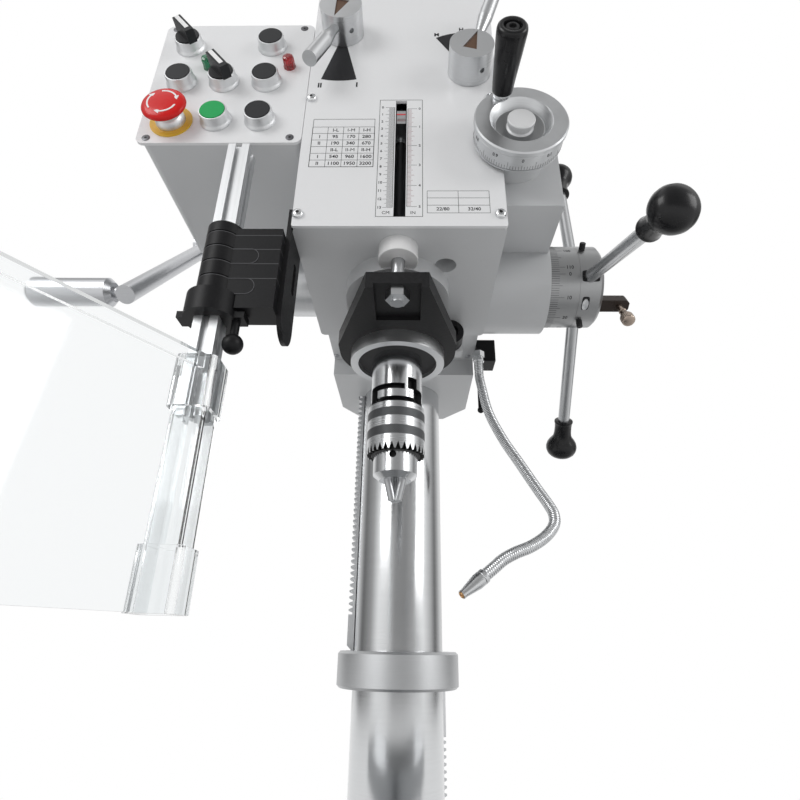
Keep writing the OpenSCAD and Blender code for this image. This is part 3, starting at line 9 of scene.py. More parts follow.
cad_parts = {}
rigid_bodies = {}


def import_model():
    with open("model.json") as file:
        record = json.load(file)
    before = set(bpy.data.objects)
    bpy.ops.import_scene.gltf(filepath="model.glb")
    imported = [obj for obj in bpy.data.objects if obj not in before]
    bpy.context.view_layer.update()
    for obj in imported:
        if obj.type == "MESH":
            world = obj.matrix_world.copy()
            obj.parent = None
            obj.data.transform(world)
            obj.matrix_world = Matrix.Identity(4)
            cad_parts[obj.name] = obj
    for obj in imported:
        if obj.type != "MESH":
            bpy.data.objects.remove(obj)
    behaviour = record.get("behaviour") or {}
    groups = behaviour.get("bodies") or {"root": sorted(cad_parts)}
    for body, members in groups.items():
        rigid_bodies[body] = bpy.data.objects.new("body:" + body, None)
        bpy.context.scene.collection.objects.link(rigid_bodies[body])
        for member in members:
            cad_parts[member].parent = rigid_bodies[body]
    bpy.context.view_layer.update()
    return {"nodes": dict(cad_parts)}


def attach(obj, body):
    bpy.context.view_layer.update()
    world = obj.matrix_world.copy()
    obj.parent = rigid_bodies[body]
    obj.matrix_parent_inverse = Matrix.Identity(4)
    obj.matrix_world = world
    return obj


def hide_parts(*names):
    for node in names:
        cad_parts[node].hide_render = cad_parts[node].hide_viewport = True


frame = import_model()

# The studio: the machine stands on a pale floor under two soft lamps, with a white surround.
# Steel sees lighter and darker walls of the room, so that its round parts show bands. Far from the
# machine the floor fades into the white surround, and near it the floor keeps the shadow.
nodes = frame["nodes"]
bpy.context.scene.view_settings.view_transform = "Standard"


def plug(tree, slot, value):
    """Feeds a socket with a wire, or with a plain number or colour."""
    if isinstance(value, Wire):
        tree.links.new(value.socket, slot)
    elif hasattr(value, "__len__") and len(value) == 3 and slot.type == "RGBA":
        slot.default_value = (*value, 1)
    else:
        slot.default_value = value


class Wire:
    """A shader value. Arithmetic on it adds the Math node that works it out."""

    def __init__(self, tree, socket):
        self.tree, self.socket = tree, socket

    def maths(self, operation, *values):
        node = self.tree.nodes.new("ShaderNodeMath")
        node.operation = operation
        for slot, value in zip(node.inputs, values):
            plug(self.tree, slot, value)
        return Wire(self.tree, node.outputs[0])

    def __add__(self, other):
        return self.maths("ADD", self, other)

    def __sub__(self, other):
        return self.maths("SUBTRACT", self, other)

    def __rsub__(self, other):
        return self.maths("SUBTRACT", other, self)

    def __mul__(self, other):
        return self.maths("MULTIPLY", self, other)

    def __gt__(self, other):
        return self.maths("GREATER_THAN", self, other)

    def __lt__(self, other):
        return self.maths("LESS_THAN", self, other)

    def __pow__(self, other):
        return self.maths("POWER", self, other)

    __radd__ = __add__
    __rmul__ = __mul__


class Nodes:
    """A node tree. node() adds any node from its type, its settings and its inputs."""

    def __init__(self, tree):
        self.tree = tree

    def node(self, kind, settings, inputs, out=0):
        node = self.tree.nodes.new("ShaderNode" + kind)
        for key, value in settings.items():
            if key == "stops":
                for i, (at, tone) in enumerate(value):
                    point = node.color_ramp.elements[i] if i < 2 else node.color_ramp.elements.new(at)
                    point.position, point.color = at, (tone, tone, tone, 1)
            else:
                setattr(node, key, value)
        for key, value in inputs.items():
            plug(self.tree, node.inputs[key], value)
        return Wire(self.tree, node.outputs[out])

    def rays(self, *kinds):
        """1 for the named kinds of ray, and 0 for all others."""
        found = [self.node("LightPath", {}, {}, kind) for kind in kinds]
        for other in found[1:]:
            found[0] = found[0].maths("MAXIMUM", found[0], other)
        return found[0]


def away(across, up):
    """The distance from an axis, from how far a point is across and up from it."""
    return (across * across + up * up) ** 0.5


room = bpy.data.worlds.new("studio_room")
bpy.context.scene.world = room
room.use_nodes = True
walls = Nodes(room.node_tree)
way = walls.node("TexCoord", {}, {}, "Generated")
east, north, height = (walls.node("SeparateXYZ", {}, {"Vector": way}, i) for i in range(3))
around = east.maths("ARCTAN2", east, north * -1) * (0.5 / math.pi) + 0.5
bands = walls.node("ValToRGB", {"stops": [
    (0.0, 0.80), (0.12, 0.75), (0.20, 0.13), (0.29, 0.38), (0.35, 1.0), (0.42, 0.80), (0.47, 0.30),
    (0.55, 0.27), (0.62, 0.45), (0.69, 1.0), (0.75, 0.62), (0.81, 0.13), (0.89, 0.75), (1.0, 0.80)]},
    {"Fac": around})
overhead = height.maths("SMOOTH_MAX", height, 0.0)
seen = walls.rays("Is Camera Ray", "Is Transmission Ray")
glossy = walls.rays("Is Glossy Ray")
plain_light = 0.50
light = glossy * (bands * 1.05 + overhead * 0.25) + (1 - glossy) * plain_light
background = room.node_tree.nodes["Background"].inputs
plug(room.node_tree, background["Strength"], seen + (1 - seen) * light)
background["Color"].default_value = (1, 1, 1, 1)


class Finish(Nodes):
    """A procedural finish for the machine: a shader, and the patterns that vary it."""

    def __init__(self, name, colour, rough, metal=0.0, **sockets):
        self.material = bpy.data.materials.new(name)
        self.material.use_nodes = True
        super().__init__(self.material.node_tree)
        self.shader = self.tree.nodes["Principled BSDF"]
        self.here = self.node("TexCoord", {}, {}, "Object")
        self.feed("Base Color", colour)
        self.feed("Roughness", rough)
        self.feed("Metallic", metal)
        for socket, value in sockets.items():
            self.feed(socket.replace("_", " "), value)

    def feed(self, name, value):
        plug(self.tree, self.shader.inputs[name], value)

    def grain(self, scale, stretch=(1, 1, 1), detail=2.0, rough=0.5):
        """Cloudy noise from 0 to 1, with `scale` cells to the metre, drawn out by `stretch`."""
        place = self.node("Mapping", {}, {"Vector": self.here, "Scale": stretch})
        return self.node("TexNoise", {}, {"Vector": place, "Scale": scale, "Detail": detail,
                                          "Roughness": rough})

    def mixed(self, share, first, second):
        """One colour blended into another by a share from 0 to 1."""
        colours = [tone if isinstance(tone, Wire) else (*tone, 1) for tone in (first, second)]
        return self.node("Mix", {"data_type": "RGBA"}, {0: share, 6: colours[0], 7: colours[1]}, 2)

    def vary(self, share, first, second, rough, swing):
        """Blends two colours by a share, which adds up to `swing` to the roughness too."""
        self.feed("Base Color", self.mixed(share, first, second))
        self.feed("Roughness", rough + share * swing)

    def axes(self):
        """The three coordinates of a point, in metres."""
        return [self.node("SeparateXYZ", {}, {"Vector": self.here}, i) for i in range(3)]

    def relief(self, height, depth, strength=1.0):
        """Raises and sinks the surface by a pattern, `depth` metres at most."""
        self.feed("Normal", self.node("Bump", {}, {"Height": height, "Distance": depth,
                                                   "Strength": strength}))


floor_finish = Finish("studio_floor", (0.80, 0.80, 0.80), 0.7)
floor_finish.feed("Base Color", floor_finish.mixed(floor_finish.grain(3), (0.79, 0.79, 0.79),
                                                   (0.82, 0.82, 0.82)))
shadow_reach, fade_per_metre = 1.0, 0.55
fade = (away(*floor_finish.axes()[:2]) - shadow_reach) * fade_per_metre
fade = fade.maths("MAXIMUM", fade.maths("MINIMUM", fade, 1.0), 0.0)
straight = floor_finish.rays("Is Camera Ray", "Is Glossy Ray", "Is Transmission Ray")
surround = floor_finish.node("Emission", {}, {"Color": (1, 1, 1), "Strength": 1.0})
blend = floor_finish.node("MixShader", {}, {0: fade * straight, 2: surround})
floor_finish.tree.links.new(floor_finish.shader.outputs[0], blend.socket.node.inputs[1])
plug(floor_finish.tree, floor_finish.tree.nodes["Material Output"].inputs["Surface"], blend)
floor_half, floor_z = 9, -0.001
floor_mesh = bpy.data.meshes.new("studio_floor")
floor_mesh.from_pydata([(x * floor_half, y * floor_half, floor_z)
                        for x, y in ((-1, -1), (1, -1), (1, 1), (-1, 1))], [], [(0, 1, 2, 3)])
floor_mesh.materials.append(floor_finish.material)
floor = bpy.data.objects.new("studio_floor", floor_mesh)
bpy.context.scene.collection.objects.link(floor)
lit_point = Vector((0, -0.25, 1.35))


def soft_lamp(name, place, size, power):
    """A square soft lamp that faces the head of the machine."""
    lamp = bpy.data.lights.new(name, "AREA")
    lamp.size, lamp.energy = size, power
    holder = bpy.data.objects.new(name, lamp)
    bpy.context.scene.collection.objects.link(holder)
    aim = lit_point - Vector(place)
    holder.matrix_world = Matrix.Translation(place) @ aim.to_track_quat("-Z", "Y").to_matrix().to_4x4()


soft_lamp("lamp_left", (-2.3, -2.9, 2.7), 1.8, 46)
soft_lamp("lamp_right", (2.9, -2.0, 2.2), 1.5, 26)

# The camera stands low in front of the chuck and looks up at the head, a little turned and rolled.
pitch, yaw, roll = 0.4237, -0.023, 0.0164
camera_place = (0.01496, -0.77598, 1.0)
focal_px, frame_px, sensor = 541.11, 800, 36
ahead = Vector((math.sin(yaw) * math.cos(pitch), math.cos(yaw) * math.cos(pitch), math.sin(pitch)))
level = Vector((math.cos(yaw), -math.sin(yaw), 0))
above = level.cross(ahead)
side = level * math.cos(roll) + above * math.sin(roll)
above = above * math.cos(roll) - level * math.sin(roll)
lens = bpy.data.cameras.new("camera")
lens.sensor_width, lens.lens, lens.clip_end = sensor, focal_px / frame_px * sensor, 60
camera = bpy.data.objects.new("camera", lens)
bpy.context.scene.collection.objects.link(camera)
turn = Matrix((side, above, -ahead)).transposed().to_4x4()
camera.matrix_world = Matrix.Translation(camera_place) @ turn
bpy.context.scene.camera = camera

# The coolant hose is a stiff gooseneck of wound bright steel that holds the bend it is given.
# It leaves a ferrule under the valve and ends in a turned cone with a brass jet.
bends = np.array([[105, -132, 1348], [105, -132, 1335], [105, -132, 1325], [107, -137, 1305],
                  [113, -144, 1268], [126, -156, 1229], [141, -170, 1194], [154, -186, 1161],
                  [163, -200, 1137], [165, -208, 1125], [162, -214, 1113], [150, -223, 1100],
                  [133, -232, 1089], [117, -239, 1082], [104, -243, 1075], [94, -246, 1067],
                  [84, -249, 1059]], float)


def through(points, steps):
    """A smooth curve through points: each stretch is the cubic whose slopes there are half of
    the step between the neighbouring points."""
    ends = np.vstack([points[:1], points, points[-1:]])
    a, b, c, d = (ends[i:len(ends) - 3 + i, None] for i in range(4))
    t = np.linspace(0, 1, steps, endpoint=False)[None, :, None]
    curve = b + 0.5 * t * (c - a + t * (2 * a - 5 * b + 4 * c - d + t * (3 * (b - c) + d - a)))
    return np.vstack([curve.reshape(-1, 3), points[-1:]])


def grid(points, wrap=False):
    """Quads over rows of points whose columns close on themselves; wrap closes the rows too."""
    rows, columns = points.shape[:2]
    index = np.arange(rows * columns).reshape(rows, columns)
    if wrap:
        index = np.vstack([index, index[:1]])
    low, high = index[:-1], index[1:]
    quads = np.stack([low, np.roll(low, -1, 1), np.roll(high, -1, 1), high], -1)
    return points.reshape(-1, 3), [quads.reshape(-1, 4)]


def unit(vector):
    return vector / np.linalg.norm(vector, axis=-1, keepdims=True)


def tube(path, radii, sides):
    """Rings of the given radii round each point of a path, square to it, closed at both ends."""
    way = unit(np.gradient(path, axis=0))
    across = unit(np.cross(way, [0, 1, 0]))
    other = np.cross(way, across)
    a = np.arange(sides) * 2 * math.pi / sides
    ring = np.cos(a)[None, :, None] * across[:, None] + np.sin(a)[None, :, None] * other[:, None]
    points = path[:, None] + np.asarray(radii, float)[:, None, None] * ring
    caps = [np.repeat(path[i][None, None], sides, 1) for i in (0, -1)]
    return grid(np.concatenate([caps[0], points, caps[1]]))


def piece(name, parts, finish, body, sharp=32, rounded=0.0):
    """Joins parts, each points in mm and faces, into one closed mesh in metres. It is smooth
    where faces turn by less than `sharp` degrees, and `rounded` mm comes off its sharp edges."""
    count, points, faces = 0, [], []
    for spots, groups in parts:
        points.append(spots)
        for group in groups:
            faces += (np.asarray(group) + count).tolist()
        count += len(spots)
    mesh = bpy.data.meshes.new(name)
    mesh.from_pydata((np.vstack(points) / 1000).tolist(), [], faces)
    form = bmesh.new()
    form.from_mesh(mesh)
    bmesh.ops.remove_doubles(form, verts=form.verts, dist=2e-6)
    form.to_mesh(mesh)
    form.free()
    mesh.shade_smooth()
    mesh.set_sharp_from_angle(angle=math.radians(sharp))
    mesh.materials.append(finish.material)
    made = bpy.data.objects.new(name, mesh)
    bpy.context.scene.collection.objects.link(made)
    if rounded:
        soften = made.modifiers.new("rounded", "BEVEL")
        soften.width, soften.segments = rounded / 1000, 2
        soften.limit_method, soften.angle_limit = "ANGLE", math.radians(40)
        soften.harden_normals = True
    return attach(made, body)


def shade(colour, share):
    return tuple(share * tone for tone in colour)


def machined(name, colour, rough, axis, lines=45, relief=1.5e-5, swing=0.12):
    """Turned or ground metal: fine lines round the named axis vary its tone and gloss."""
    stretch = [1, 1, 1]
    stretch["xyz".index(axis)] = 55
    finish = Finish(name, colour, rough, 1.0)
    cuts = finish.grain(lines, stretch, 3.0, 0.65)
    cloud = finish.grain(14)
    finish.feed("Base Color", finish.mixed(cuts * 0.6 + cloud * 0.4, shade(colour, 0.80), colour))
    finish.feed("Roughness", rough - swing / 2 + cuts * swing + cloud * 0.05)
    finish.relief(cuts, relief, 0.5)
    return finish


fine = through(bends, 12)
distance = np.concatenate([[0], np.cumsum(np.linalg.norm(np.diff(fine, axis=0), axis=1))])
hose_length = distance[-1]
hose_radius, rib_depth, rib_pitch, rings_per_rib = 6, 0.6, 2.4, 6
steps = np.linspace(0, hose_length, int(hose_length / rib_pitch) * rings_per_rib + 1)
route = np.stack([np.interp(steps, distance, fine[:, k]) for k in range(3)], -1)
wind = (steps / rib_pitch) % 1
hose_steel = Finish("hose_steel", (0.62, 0.63, 0.64), 0.22, 1.0)
hose_wear = hose_steel.grain(260, detail=3.0)
hose_steel.vary(hose_wear, (0.42, 0.43, 0.44), (0.78, 0.79, 0.80), 0.16, 0.18)
ribs = hose_radius - rib_depth * np.abs(2 * wind - 1) ** 2
hose = piece("coolant_gooseneck", [tube(route, ribs, 20)], hose_steel, "head", sharp=180)
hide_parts("coolant_hose")


def frame_of(axis):
    """Two directions square to an axis, so that the three are right-handed."""
    w = unit(np.array(axis, float))
    u = np.array([1.0, 0, 0]) if abs(w[0]) < 0.9 else np.array([0, 1.0, 0])
    u = unit(u - (u @ w) * w)
    return u, np.cross(w, u), w


def on_drum(centre, axis, radius, angle, along):
    """Points at a radius, an angle and a distance along an axis through the centre."""
    u, v, w = frame_of(axis)
    radius, angle, along = (np.asarray(v, float)[..., None] for v in (radius, angle, along))
    return np.array(centre, float) + radius * (np.cos(angle) * u + np.sin(angle) * v) + along * w


def turned(profile, centre, axis, sides=64, closed=False):
    """A profile of (radius, height) pairs turned about an axis through the centre. It runs up the
    outside, and closed joins its two ends. A third number in each pair is how deep every third
    corner of that ring is cut, as a knurl."""
    r, h, *cut = np.array(profile, float).T
    corner = np.arange(sides)
    notch = cut[0][:, None] * (corner % 3 == 0) if cut else 0
    points = on_drum(centre, axis, r[:, None] - notch, corner[None, :] * 2 * math.pi / sides,
                     np.repeat(h[:, None], sides, 1))
    return grid(points, closed)


tip, aim = bends[-1], unit(fine[-1] - fine[-4])
nozzle_steel = machined("nozzle_steel", (0.66, 0.67, 0.68), 0.24, "z", lines=30)
nozzle_brass = machined("nozzle_brass", (0.62, 0.36, 0.16), 0.28, "z")
cone = piece("nozzle_cone", [turned([(0, -1), (6.4, -1), (7, -0.3), (7, 3), (6.6, 3.6), (7, 4.2), (7, 10),
                                     (4.2, 26), (4.2, 29), (0, 29)], tip, aim, 40)],
             nozzle_steel, "head")
jet = piece("nozzle_jet", [turned([(0, 28), (3.2, 28), (3.4, 28.5), (3.4, 29.7), (3, 30), (1.7, 30),
                                   (1.5, 29.6), (1.5, 29.2), (0, 29.2)], tip, aim, 32)],
            nozzle_brass, "head")
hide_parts("coolant_nozzle")

# The column is a ground steel tube let into the cast base, with a rack screwed to its side for
# the head and a second for the table. A turned collar between them holds both.


def dress(finish, *names):
    """Gives CAD nodes a finish in all their material slots."""
    for name in names:
        materials = nodes[name].data.materials
        for i in range(max(1, len(materials))):
            if i < len(materials):
                materials[i] = finish.material
            else:
                materials.append(finish.material)


column_steel = machined("column_steel", (0.70, 0.71, 0.72), 0.15, "z", lines=16, relief=4e-6,
                        swing=0.06)
collar_steel = machined("collar_steel", (0.62, 0.63, 0.64), 0.34, "z", lines=30)
rack_steel = machined("rack_steel", (0.60, 0.61, 0.62), 0.36, "y", lines=30)
dress(column_steel, "column")
dress(collar_steel, "stop_collar")
dress(rack_steel, "rack_upper", "rack_lower")


def painted(name, colour, rough, peel=260, relief=1.2e-4, swell=0.0):
    """Sprayed enamel: a slight orange peel, a slow change of tone and, on castings, a soft swell."""
    finish = Finish(name, colour, rough, Coat_Weight=0.25, Coat_Roughness=0.3)
    cloud = finish.grain(5, detail=3.0)
    skin = finish.grain(peel)
    finish.feed("Base Color", finish.mixed(cloud * 0.7 + skin * 0.3, shade(colour, 0.93), colour))
    finish.feed("Roughness", rough - 0.06 + skin * 0.12)
    finish.relief(skin + finish.grain(16, detail=1.0) * swell, relief, 0.35)
    return finish


casting_paint = painted("casting_paint", (0.63, 0.64, 0.65), 0.38, relief=1.6e-4, swell=6.0)
dress(casting_paint, "base", "table_bracket", "saddle", "head_casting")

# The table is ground cast iron with three tee slots. It rides on a painted saddle, and each
# slide has a steel screw with a handwheel. The table's height crank is turned steel.
table_iron = Finish("table_iron", (0.40, 0.41, 0.42), 0.33, 0.9)
strokes = table_iron.grain(30, (60, 1, 1), 3.0, 0.7)
table_iron.vary(strokes, (0.33, 0.34, 0.35), (0.50, 0.51, 0.52), 0.26, 0.2)
table_iron.relief(strokes, 3e-5, 0.5)
dress(table_iron, "work_table")
screw_steel = machined("screw_steel", (0.62, 0.63, 0.65), 0.27, "y")
dress(screw_steel, "table_crank", "saddle_screw", "table_screw", "head_pinion", "motor_pinion",
      "spindle_gear", "head_crank")

# The head is one grey iron casting. The white front plate is screwed to it, and a pressed
# bright cap covers the return spring on its left side.
plate_paint = painted("plate_paint", (0.84, 0.845, 0.855), 0.36, peel=420, relief=5e-5)
dress(plate_paint, "front_plate", "control_panel")
spring_cap_steel = machined("spring_cap_steel", (0.66, 0.67, 0.68), 0.30, "x", lines=7, relief=2e-6,
                            swing=0.04)
feed_y, feed_z = -218, 1406
piece("spring_cap", [turned([(0, 46.6), (28, 46.6), (31.6, 46.2), (34.5, 44.4), (36.2, 41.2), (36.7, 38),
                             (36.7, 3), (38.2, 1.6), (38.6, 0.4), (0, 0.4)][::-1],
                            (-92.5, feed_y, feed_z), (-1, 0, 0), 96)],
      spring_cap_steel, "head")
bush_white = painted("bush_white", (0.80, 0.80, 0.80), 0.45, peel=300, relief=6e-5)
piece("stop_bush", [turned([(6.4, -15.5), (18, -15.5), (18.4, -15.1), (18.4, -0.1), (6.4, -0.1)],
                           (2, -376, 1335), (0, 0, 1), 72, closed=True)],
      bush_white, "head")

# Printed on the front plate: the depth scale beside its slot, two number tables, and the black
# fans that the gear levers point along. The ink stands a tenth of a millimetre proud.
RIGHT, UP, OUT = np.array([1.0, 0, 0]), np.array([0, 0, 1.0]), np.array([0, -1.0, 0])
plate_y, ink_depth = -405.3, 0.1


def at(x, z):
    """A place on the front plate's face."""
    return x, plate_y, z


def prism(outline, origin, low, high, right=RIGHT, up=UP, out=OUT):
    """An outline of (across, up) pairs, drawn anticlockwise, given thickness from low to high."""
    flat = np.array(outline, float)
    spots = np.array(origin, float) + flat[:, :1] * right + flat[:, 1:] * up
    n = len(flat)
    turn = np.arange(n)
    walls = np.stack([turn, np.roll(turn, -1), np.roll(turn, -1) + n, turn + n], -1)
    caps = [np.array([turn[::-1]]), np.array([turn + n])]
    return np.vstack([spots + low * out, spots + high * out]), [walls, *caps]


def arc(radius, angles):
    """Points (across, up) at a radius and at angles in radians."""
    return radius * np.stack([np.cos(angles), np.sin(angles)], -1)


def directions(angle):
    """Along and across a line that lies on the front at an angle in degrees."""
    a = math.radians(angle)
    return math.cos(a) * RIGHT + math.sin(a) * UP, -math.sin(a) * RIGHT + math.cos(a) * UP


def bars(low, high):
    """Upright blocks, each from its low corner to its high corner."""
    low, high = np.array(low, float), np.array(high, float)
    corner = np.array([[0, 0, 0], [1, 0, 0], [1, 1, 0], [0, 1, 0], [0, 0, 1], [1, 0, 1], [1, 1, 1],
                       [0, 1, 1]])
    sides = np.array([[0, 3, 2, 1], [4, 5, 6, 7], [0, 1, 5, 4], [1, 2, 6, 5], [2, 3, 7, 6], [3, 0, 4, 7]])
    spots = low[:, None] + corner * (high - low)[:, None]
    first = 8 * np.arange(len(low))[:, None, None]
    return spots.reshape(-1, 3), [(sides + first).reshape(-1, 4)]


def printed(x0, x1, z0, z1):
    """Ink bars on the front plate, from arrays of their left, right, lower and upper edges."""
    x0, x1, z0, z1 = np.broadcast_arrays(*(np.array(v, float).ravel() for v in (x0, x1, z0, z1)))
    front, back = np.full(len(x0), plate_y - ink_depth), np.full(len(x0), plate_y + ink_depth)
    return bars(np.stack([x0, front, z0], -1), np.stack([x1, back, z1], -1))


def figures(text, height, place=None, bold=0.02, drum=None, level=False):
    """Plain figures of a height, centred on a place of the front plate. With a drum, given as
    (centre, axis, radius, angle, distance along), they wrap round it, and level ones read along
    its axis. bold widens their strokes by that share of the height."""
    capital = 0.7
    curve = bpy.data.curves.new("figures", "FONT")
    curve.body, curve.size = text, height / capital
    curve.align_x = curve.align_y = "CENTER"
    curve.extrude, curve.resolution_u, curve.offset = ink_depth, 3, bold * height
    holder = bpy.data.objects.new("figures", curve)
    mesh = bpy.data.meshes.new_from_object(holder)
    mesh.calc_loop_triangles()
    spots, corners = np.empty(len(mesh.vertices) * 3), np.empty(len(mesh.loop_triangles) * 3, int)
    mesh.vertices.foreach_get("co", spots)
    mesh.loop_triangles.foreach_get("vertices", corners)
    for used, store in ((holder, bpy.data.objects), (curve, bpy.data.curves), (mesh, bpy.data.meshes)):
        store.remove(used)
    x, z, y = spots.reshape(-1, 3).T
    if drum is None:
        spots = np.array(place, float) + x[:, None] * RIGHT + z[:, None] * UP + y[:, None] * OUT
    else:
        centre, axis, radius, angle, along = drum
        turn, shift = (-z, x) if level else (x, z)
        spots = on_drum(centre, axis, radius + y, angle + turn / radius, along + shift)
    return spots, [corners.reshape(-1, 3)]


def ticks(centre, axis, radius, angles, start, ends, wide):
    """Fine bars round a drum, each from `start` to its own end along the axis."""
    sunk, proud = 0.1, 0.08
    low = [np.full(len(angles), radius - sunk), angles - wide / 2 / radius, np.minimum(start, ends)]
    high = [np.full(len(angles), radius + proud), angles + wide / 2 / radius, np.maximum(start, ends)]
    spots, faces = bars(np.stack(low, -1), np.stack(high, -1))
    return on_drum(centre, axis, *spots.T), faces


def ink(name, colour):
    """Flat ink, blacking, painted shade and painted highlights, with a fine speck."""
    finish = Finish(name, colour, 0.45, Specular_IOR_Level=0.2)
    paler = tuple(min(1, 1.5 * tone + 0.01) for tone in colour)
    finish.vary(finish.grain(900), colour, paler, 0.38, 0.15)
    return finish


black_ink = ink("black_ink", (0.012, 0.012, 0.014))
red_ink = ink("red_ink", (0.55, 0.06, 0.07))
rose_ink = ink("rose_ink", (0.28, 0.15, 0.16))


def border(x0, x1, z0, z1):
    """The four lines of a printed frame."""
    line = 0.4
    return printed([x0, x0, x0, x1 - line], [x1, x1, x0 + line, x1],
                   [z0, z1 - line, z0, z0], [z0 + line, z1, z1, z1])


def ruled(xs, zs):
    """The lines of a printed table, from its column and row edges."""
    line = 0.35
    xs, zs = np.array(xs, float), np.array(zs, float)
    upright = printed(xs - line / 2, xs + line / 2, zs.min(), zs.max())
    across = printed(xs.min(), xs.max(), zs - line / 2, zs + line / 2)
    return [upright, across]


cm_zero, inch_zero, inch = 1486.3, 1484.3, 25.4
mm, sixteenth = np.arange(131), np.arange(81)
cm_z = cm_zero - mm
cm_left = np.select([mm % 10 == 0, mm % 5 == 0], [-12.4, -10.6], -9.0)
inch_z = inch_zero - sixteenth * inch / 16
inch_right = np.select([sixteenth % part == 0 for part in (16, 8, 4)], [18.6, 16.2, 14.8], 13.4)
whole = sixteenth % 16 == 0
scale_marks = [border(-18.4, 24.1, 1345.6, 1497.2),
               printed(cm_left, -3.4, cm_z - 0.11, cm_z + 0.11),
               printed(-3.6, -3.2, 1356.3, cm_zero), printed(9.4, 9.8, 1357.3, inch_zero),
               printed(9.6, inch_right[whole], inch_z[whole] - 0.14, inch_z[whole] + 0.14),
               figures("CM", 3.4, at(-9.2, 1350.2), bold=0), figures("IN", 3.4, at(15.2, 1350.2), bold=0)]
scale_marks += [figures(str(n), 2.9, at(-15.3, cm_zero - 10 * n)) for n in range(14)]
scale_marks += [figures(str(n), 2.9, at(21.2, inch_zero - inch * n)) for n in range(6)]
speed_left, speed_right, speed_low, speed_head, speed_top = -83.0, -22.4, 1406, 1459, 1470
speed_x, speed_z = np.linspace(speed_left, speed_right, 5), np.linspace(speed_head, speed_low, 7)
speeds = ["", "I-L", "I-M", "I-H", "I", "95", "170", "280", "II", "190", "340", "670",
          "", "II-L", "II-M", "II-H", "I", "540", "960", "1600", "II", "1100", "1950", "3200"]
speed_marks = ruled(speed_x, speed_z) + [border(speed_left, speed_right, speed_low, speed_top)]
speed_marks += [figures(word, 4.0, at((speed_x[i % 4] + speed_x[i % 4 + 1]) / 2,
                                      (speed_z[i // 4] + speed_z[i // 4 + 1]) / 2),
                        bold=0 if "M" in word else 0.02)
                for i, word in enumerate(speeds) if word]
size_marks = ruled([28, 56, 84], [1376, 1367.6, 1359, 1350])
size_marks += [figures("22/80", 3.6, at(42, 1354.5)), figures("32/40", 3.6, at(70, 1354.5))]
lever_places = [(-61, 1602), (72, 1538)]
fans = [(-104.9, -76.7, 75.4), (89.5, 120.5, 65.5)]
fan_marks = []
for place, (first, last, reach) in zip(lever_places, fans):
    rim = arc(reach, np.radians(np.linspace(first, last, 13)))
    fan_marks.append(prism([(0, 0), *rim], at(*place), -ink_depth, ink_depth))
gear_words = [("II", 6.4, -81, 1519.5), ("I", 6.4, -43, 1520), ("M", 5.0, 39.5, 1599.6),
              ("H", 5.0, 66.2, 1608.4)]
fan_marks += [figures(word, high, at(x, z), bold=0.05) for word, high, x, z in gear_words]
piece("plate_print", scale_marks + speed_marks + size_marks + fan_marks, black_ink, "head",
      sharp=20)
part_z = inch_z[~whole]
piece("plate_print_rose", [printed(9.6, inch_right[~whole], part_z - 0.15, part_z + 0.15)],
      rose_ink, "head", sharp=20)

# Screws: six chromed buttonheads hold the front plate and four dark countersunk ones the panel.
# Two screws with nuts draw the column clamp together, and small screws sit under the neck.
chrome = machined("chrome", (0.78, 0.79, 0.80), 0.12, "y", lines=20, relief=3e-6, swing=0.05)
dark_steel = machined("dark_steel", (0.16, 0.16, 0.17), 0.38, "y")
recess_shade = ink("recess_shade", (0.010, 0.010, 0.011))


def hexagon(across, turn=0.0):
    """The six corners of a hexagon, from its width across flats."""
    return arc(across, np.radians(np.arange(6) * 60 + 30 + turn)) / math.sqrt(3)


plate_screws = [(x, z) for x in (-87.5, 92.9) for z in (1348.5, 1500, 1670)]
panel_screws = [(x, z) for x in (-245, -104.5) for z in (1445, 1612)]
dome = [(0, -3), (2.5, -3), (2.5, 0.02), (5.2, 0.02), (5.3, 0.8), (4.8, 2.1), (3.7, 3.1),
        (2.2, 3.55), (0, 3.6)]
flat_head = [(0, -3), (2.5, -3), (2.5, -0.2), (4, 0.1), (4, 0.35), (3.6, 0.5), (0, 0.5)]
heads = piece("plate_screw_heads", [turned(dome, at(x, z), OUT, 40) for x, z in plate_screws],
              chrome, "head", sharp=50)
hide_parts("head_screws")
# Painted shade: the black hexagons on the screw heads stand for the shade in their hex sockets.
piece("plate_screw_sockets", [prism(hexagon(2.9, 12), at(x, z), 2.8, 3.66) for x, z in plate_screws],
      recess_shade, "head")
piece("panel_screw_heads", [turned(flat_head, at(x, z), OUT, 32) for x, z in panel_screws],
      dark_steel, "head")
piece("panel_screw_sockets", [prism(hexagon(2.4, 8), at(x, z), 0.3, 0.56) for x, z in panel_screws],
      recess_shade, "head")
clamp_screws, shank = [], [(0, -44), (5, -44), (6, -43), (6, 33), (5, 34), (0, 34)]
for z in (1422, 1602):
    for x, way, thick in ((-30, -1, 9.5), (30, 1, 8)):
        clamp_screws.append(prism(hexagon(19), (x, 97, z), 0, thick, right=-way * np.array([0, 1.0, 0]),
                                  up=UP, out=way * RIGHT))
    clamp_screws.append(turned(shank, (0, 97, z), (1, 0, 0), 32))
neck_screw = [(0, -2), (3.2, -2), (3.6, -1.6), (3.6, 0.2), (0, 0.2)]
neck_screws = [turned(neck_screw, (x, -95, 1377), (0, 0, 1), 24) for x in (-92.8, 95.2)]
piece("clamp_nuts", clamp_screws + neck_screws, screw_steel, "head", rounded=0.4)
piece("bracket_screw", [turned([(0, 0), (6, 0), (6, 2.6), (5.2, 3.5), (0, 3.5)],
                               (-96.5, -381.3, 1349), (-1, 0, 0), 36)], dark_steel, "head")

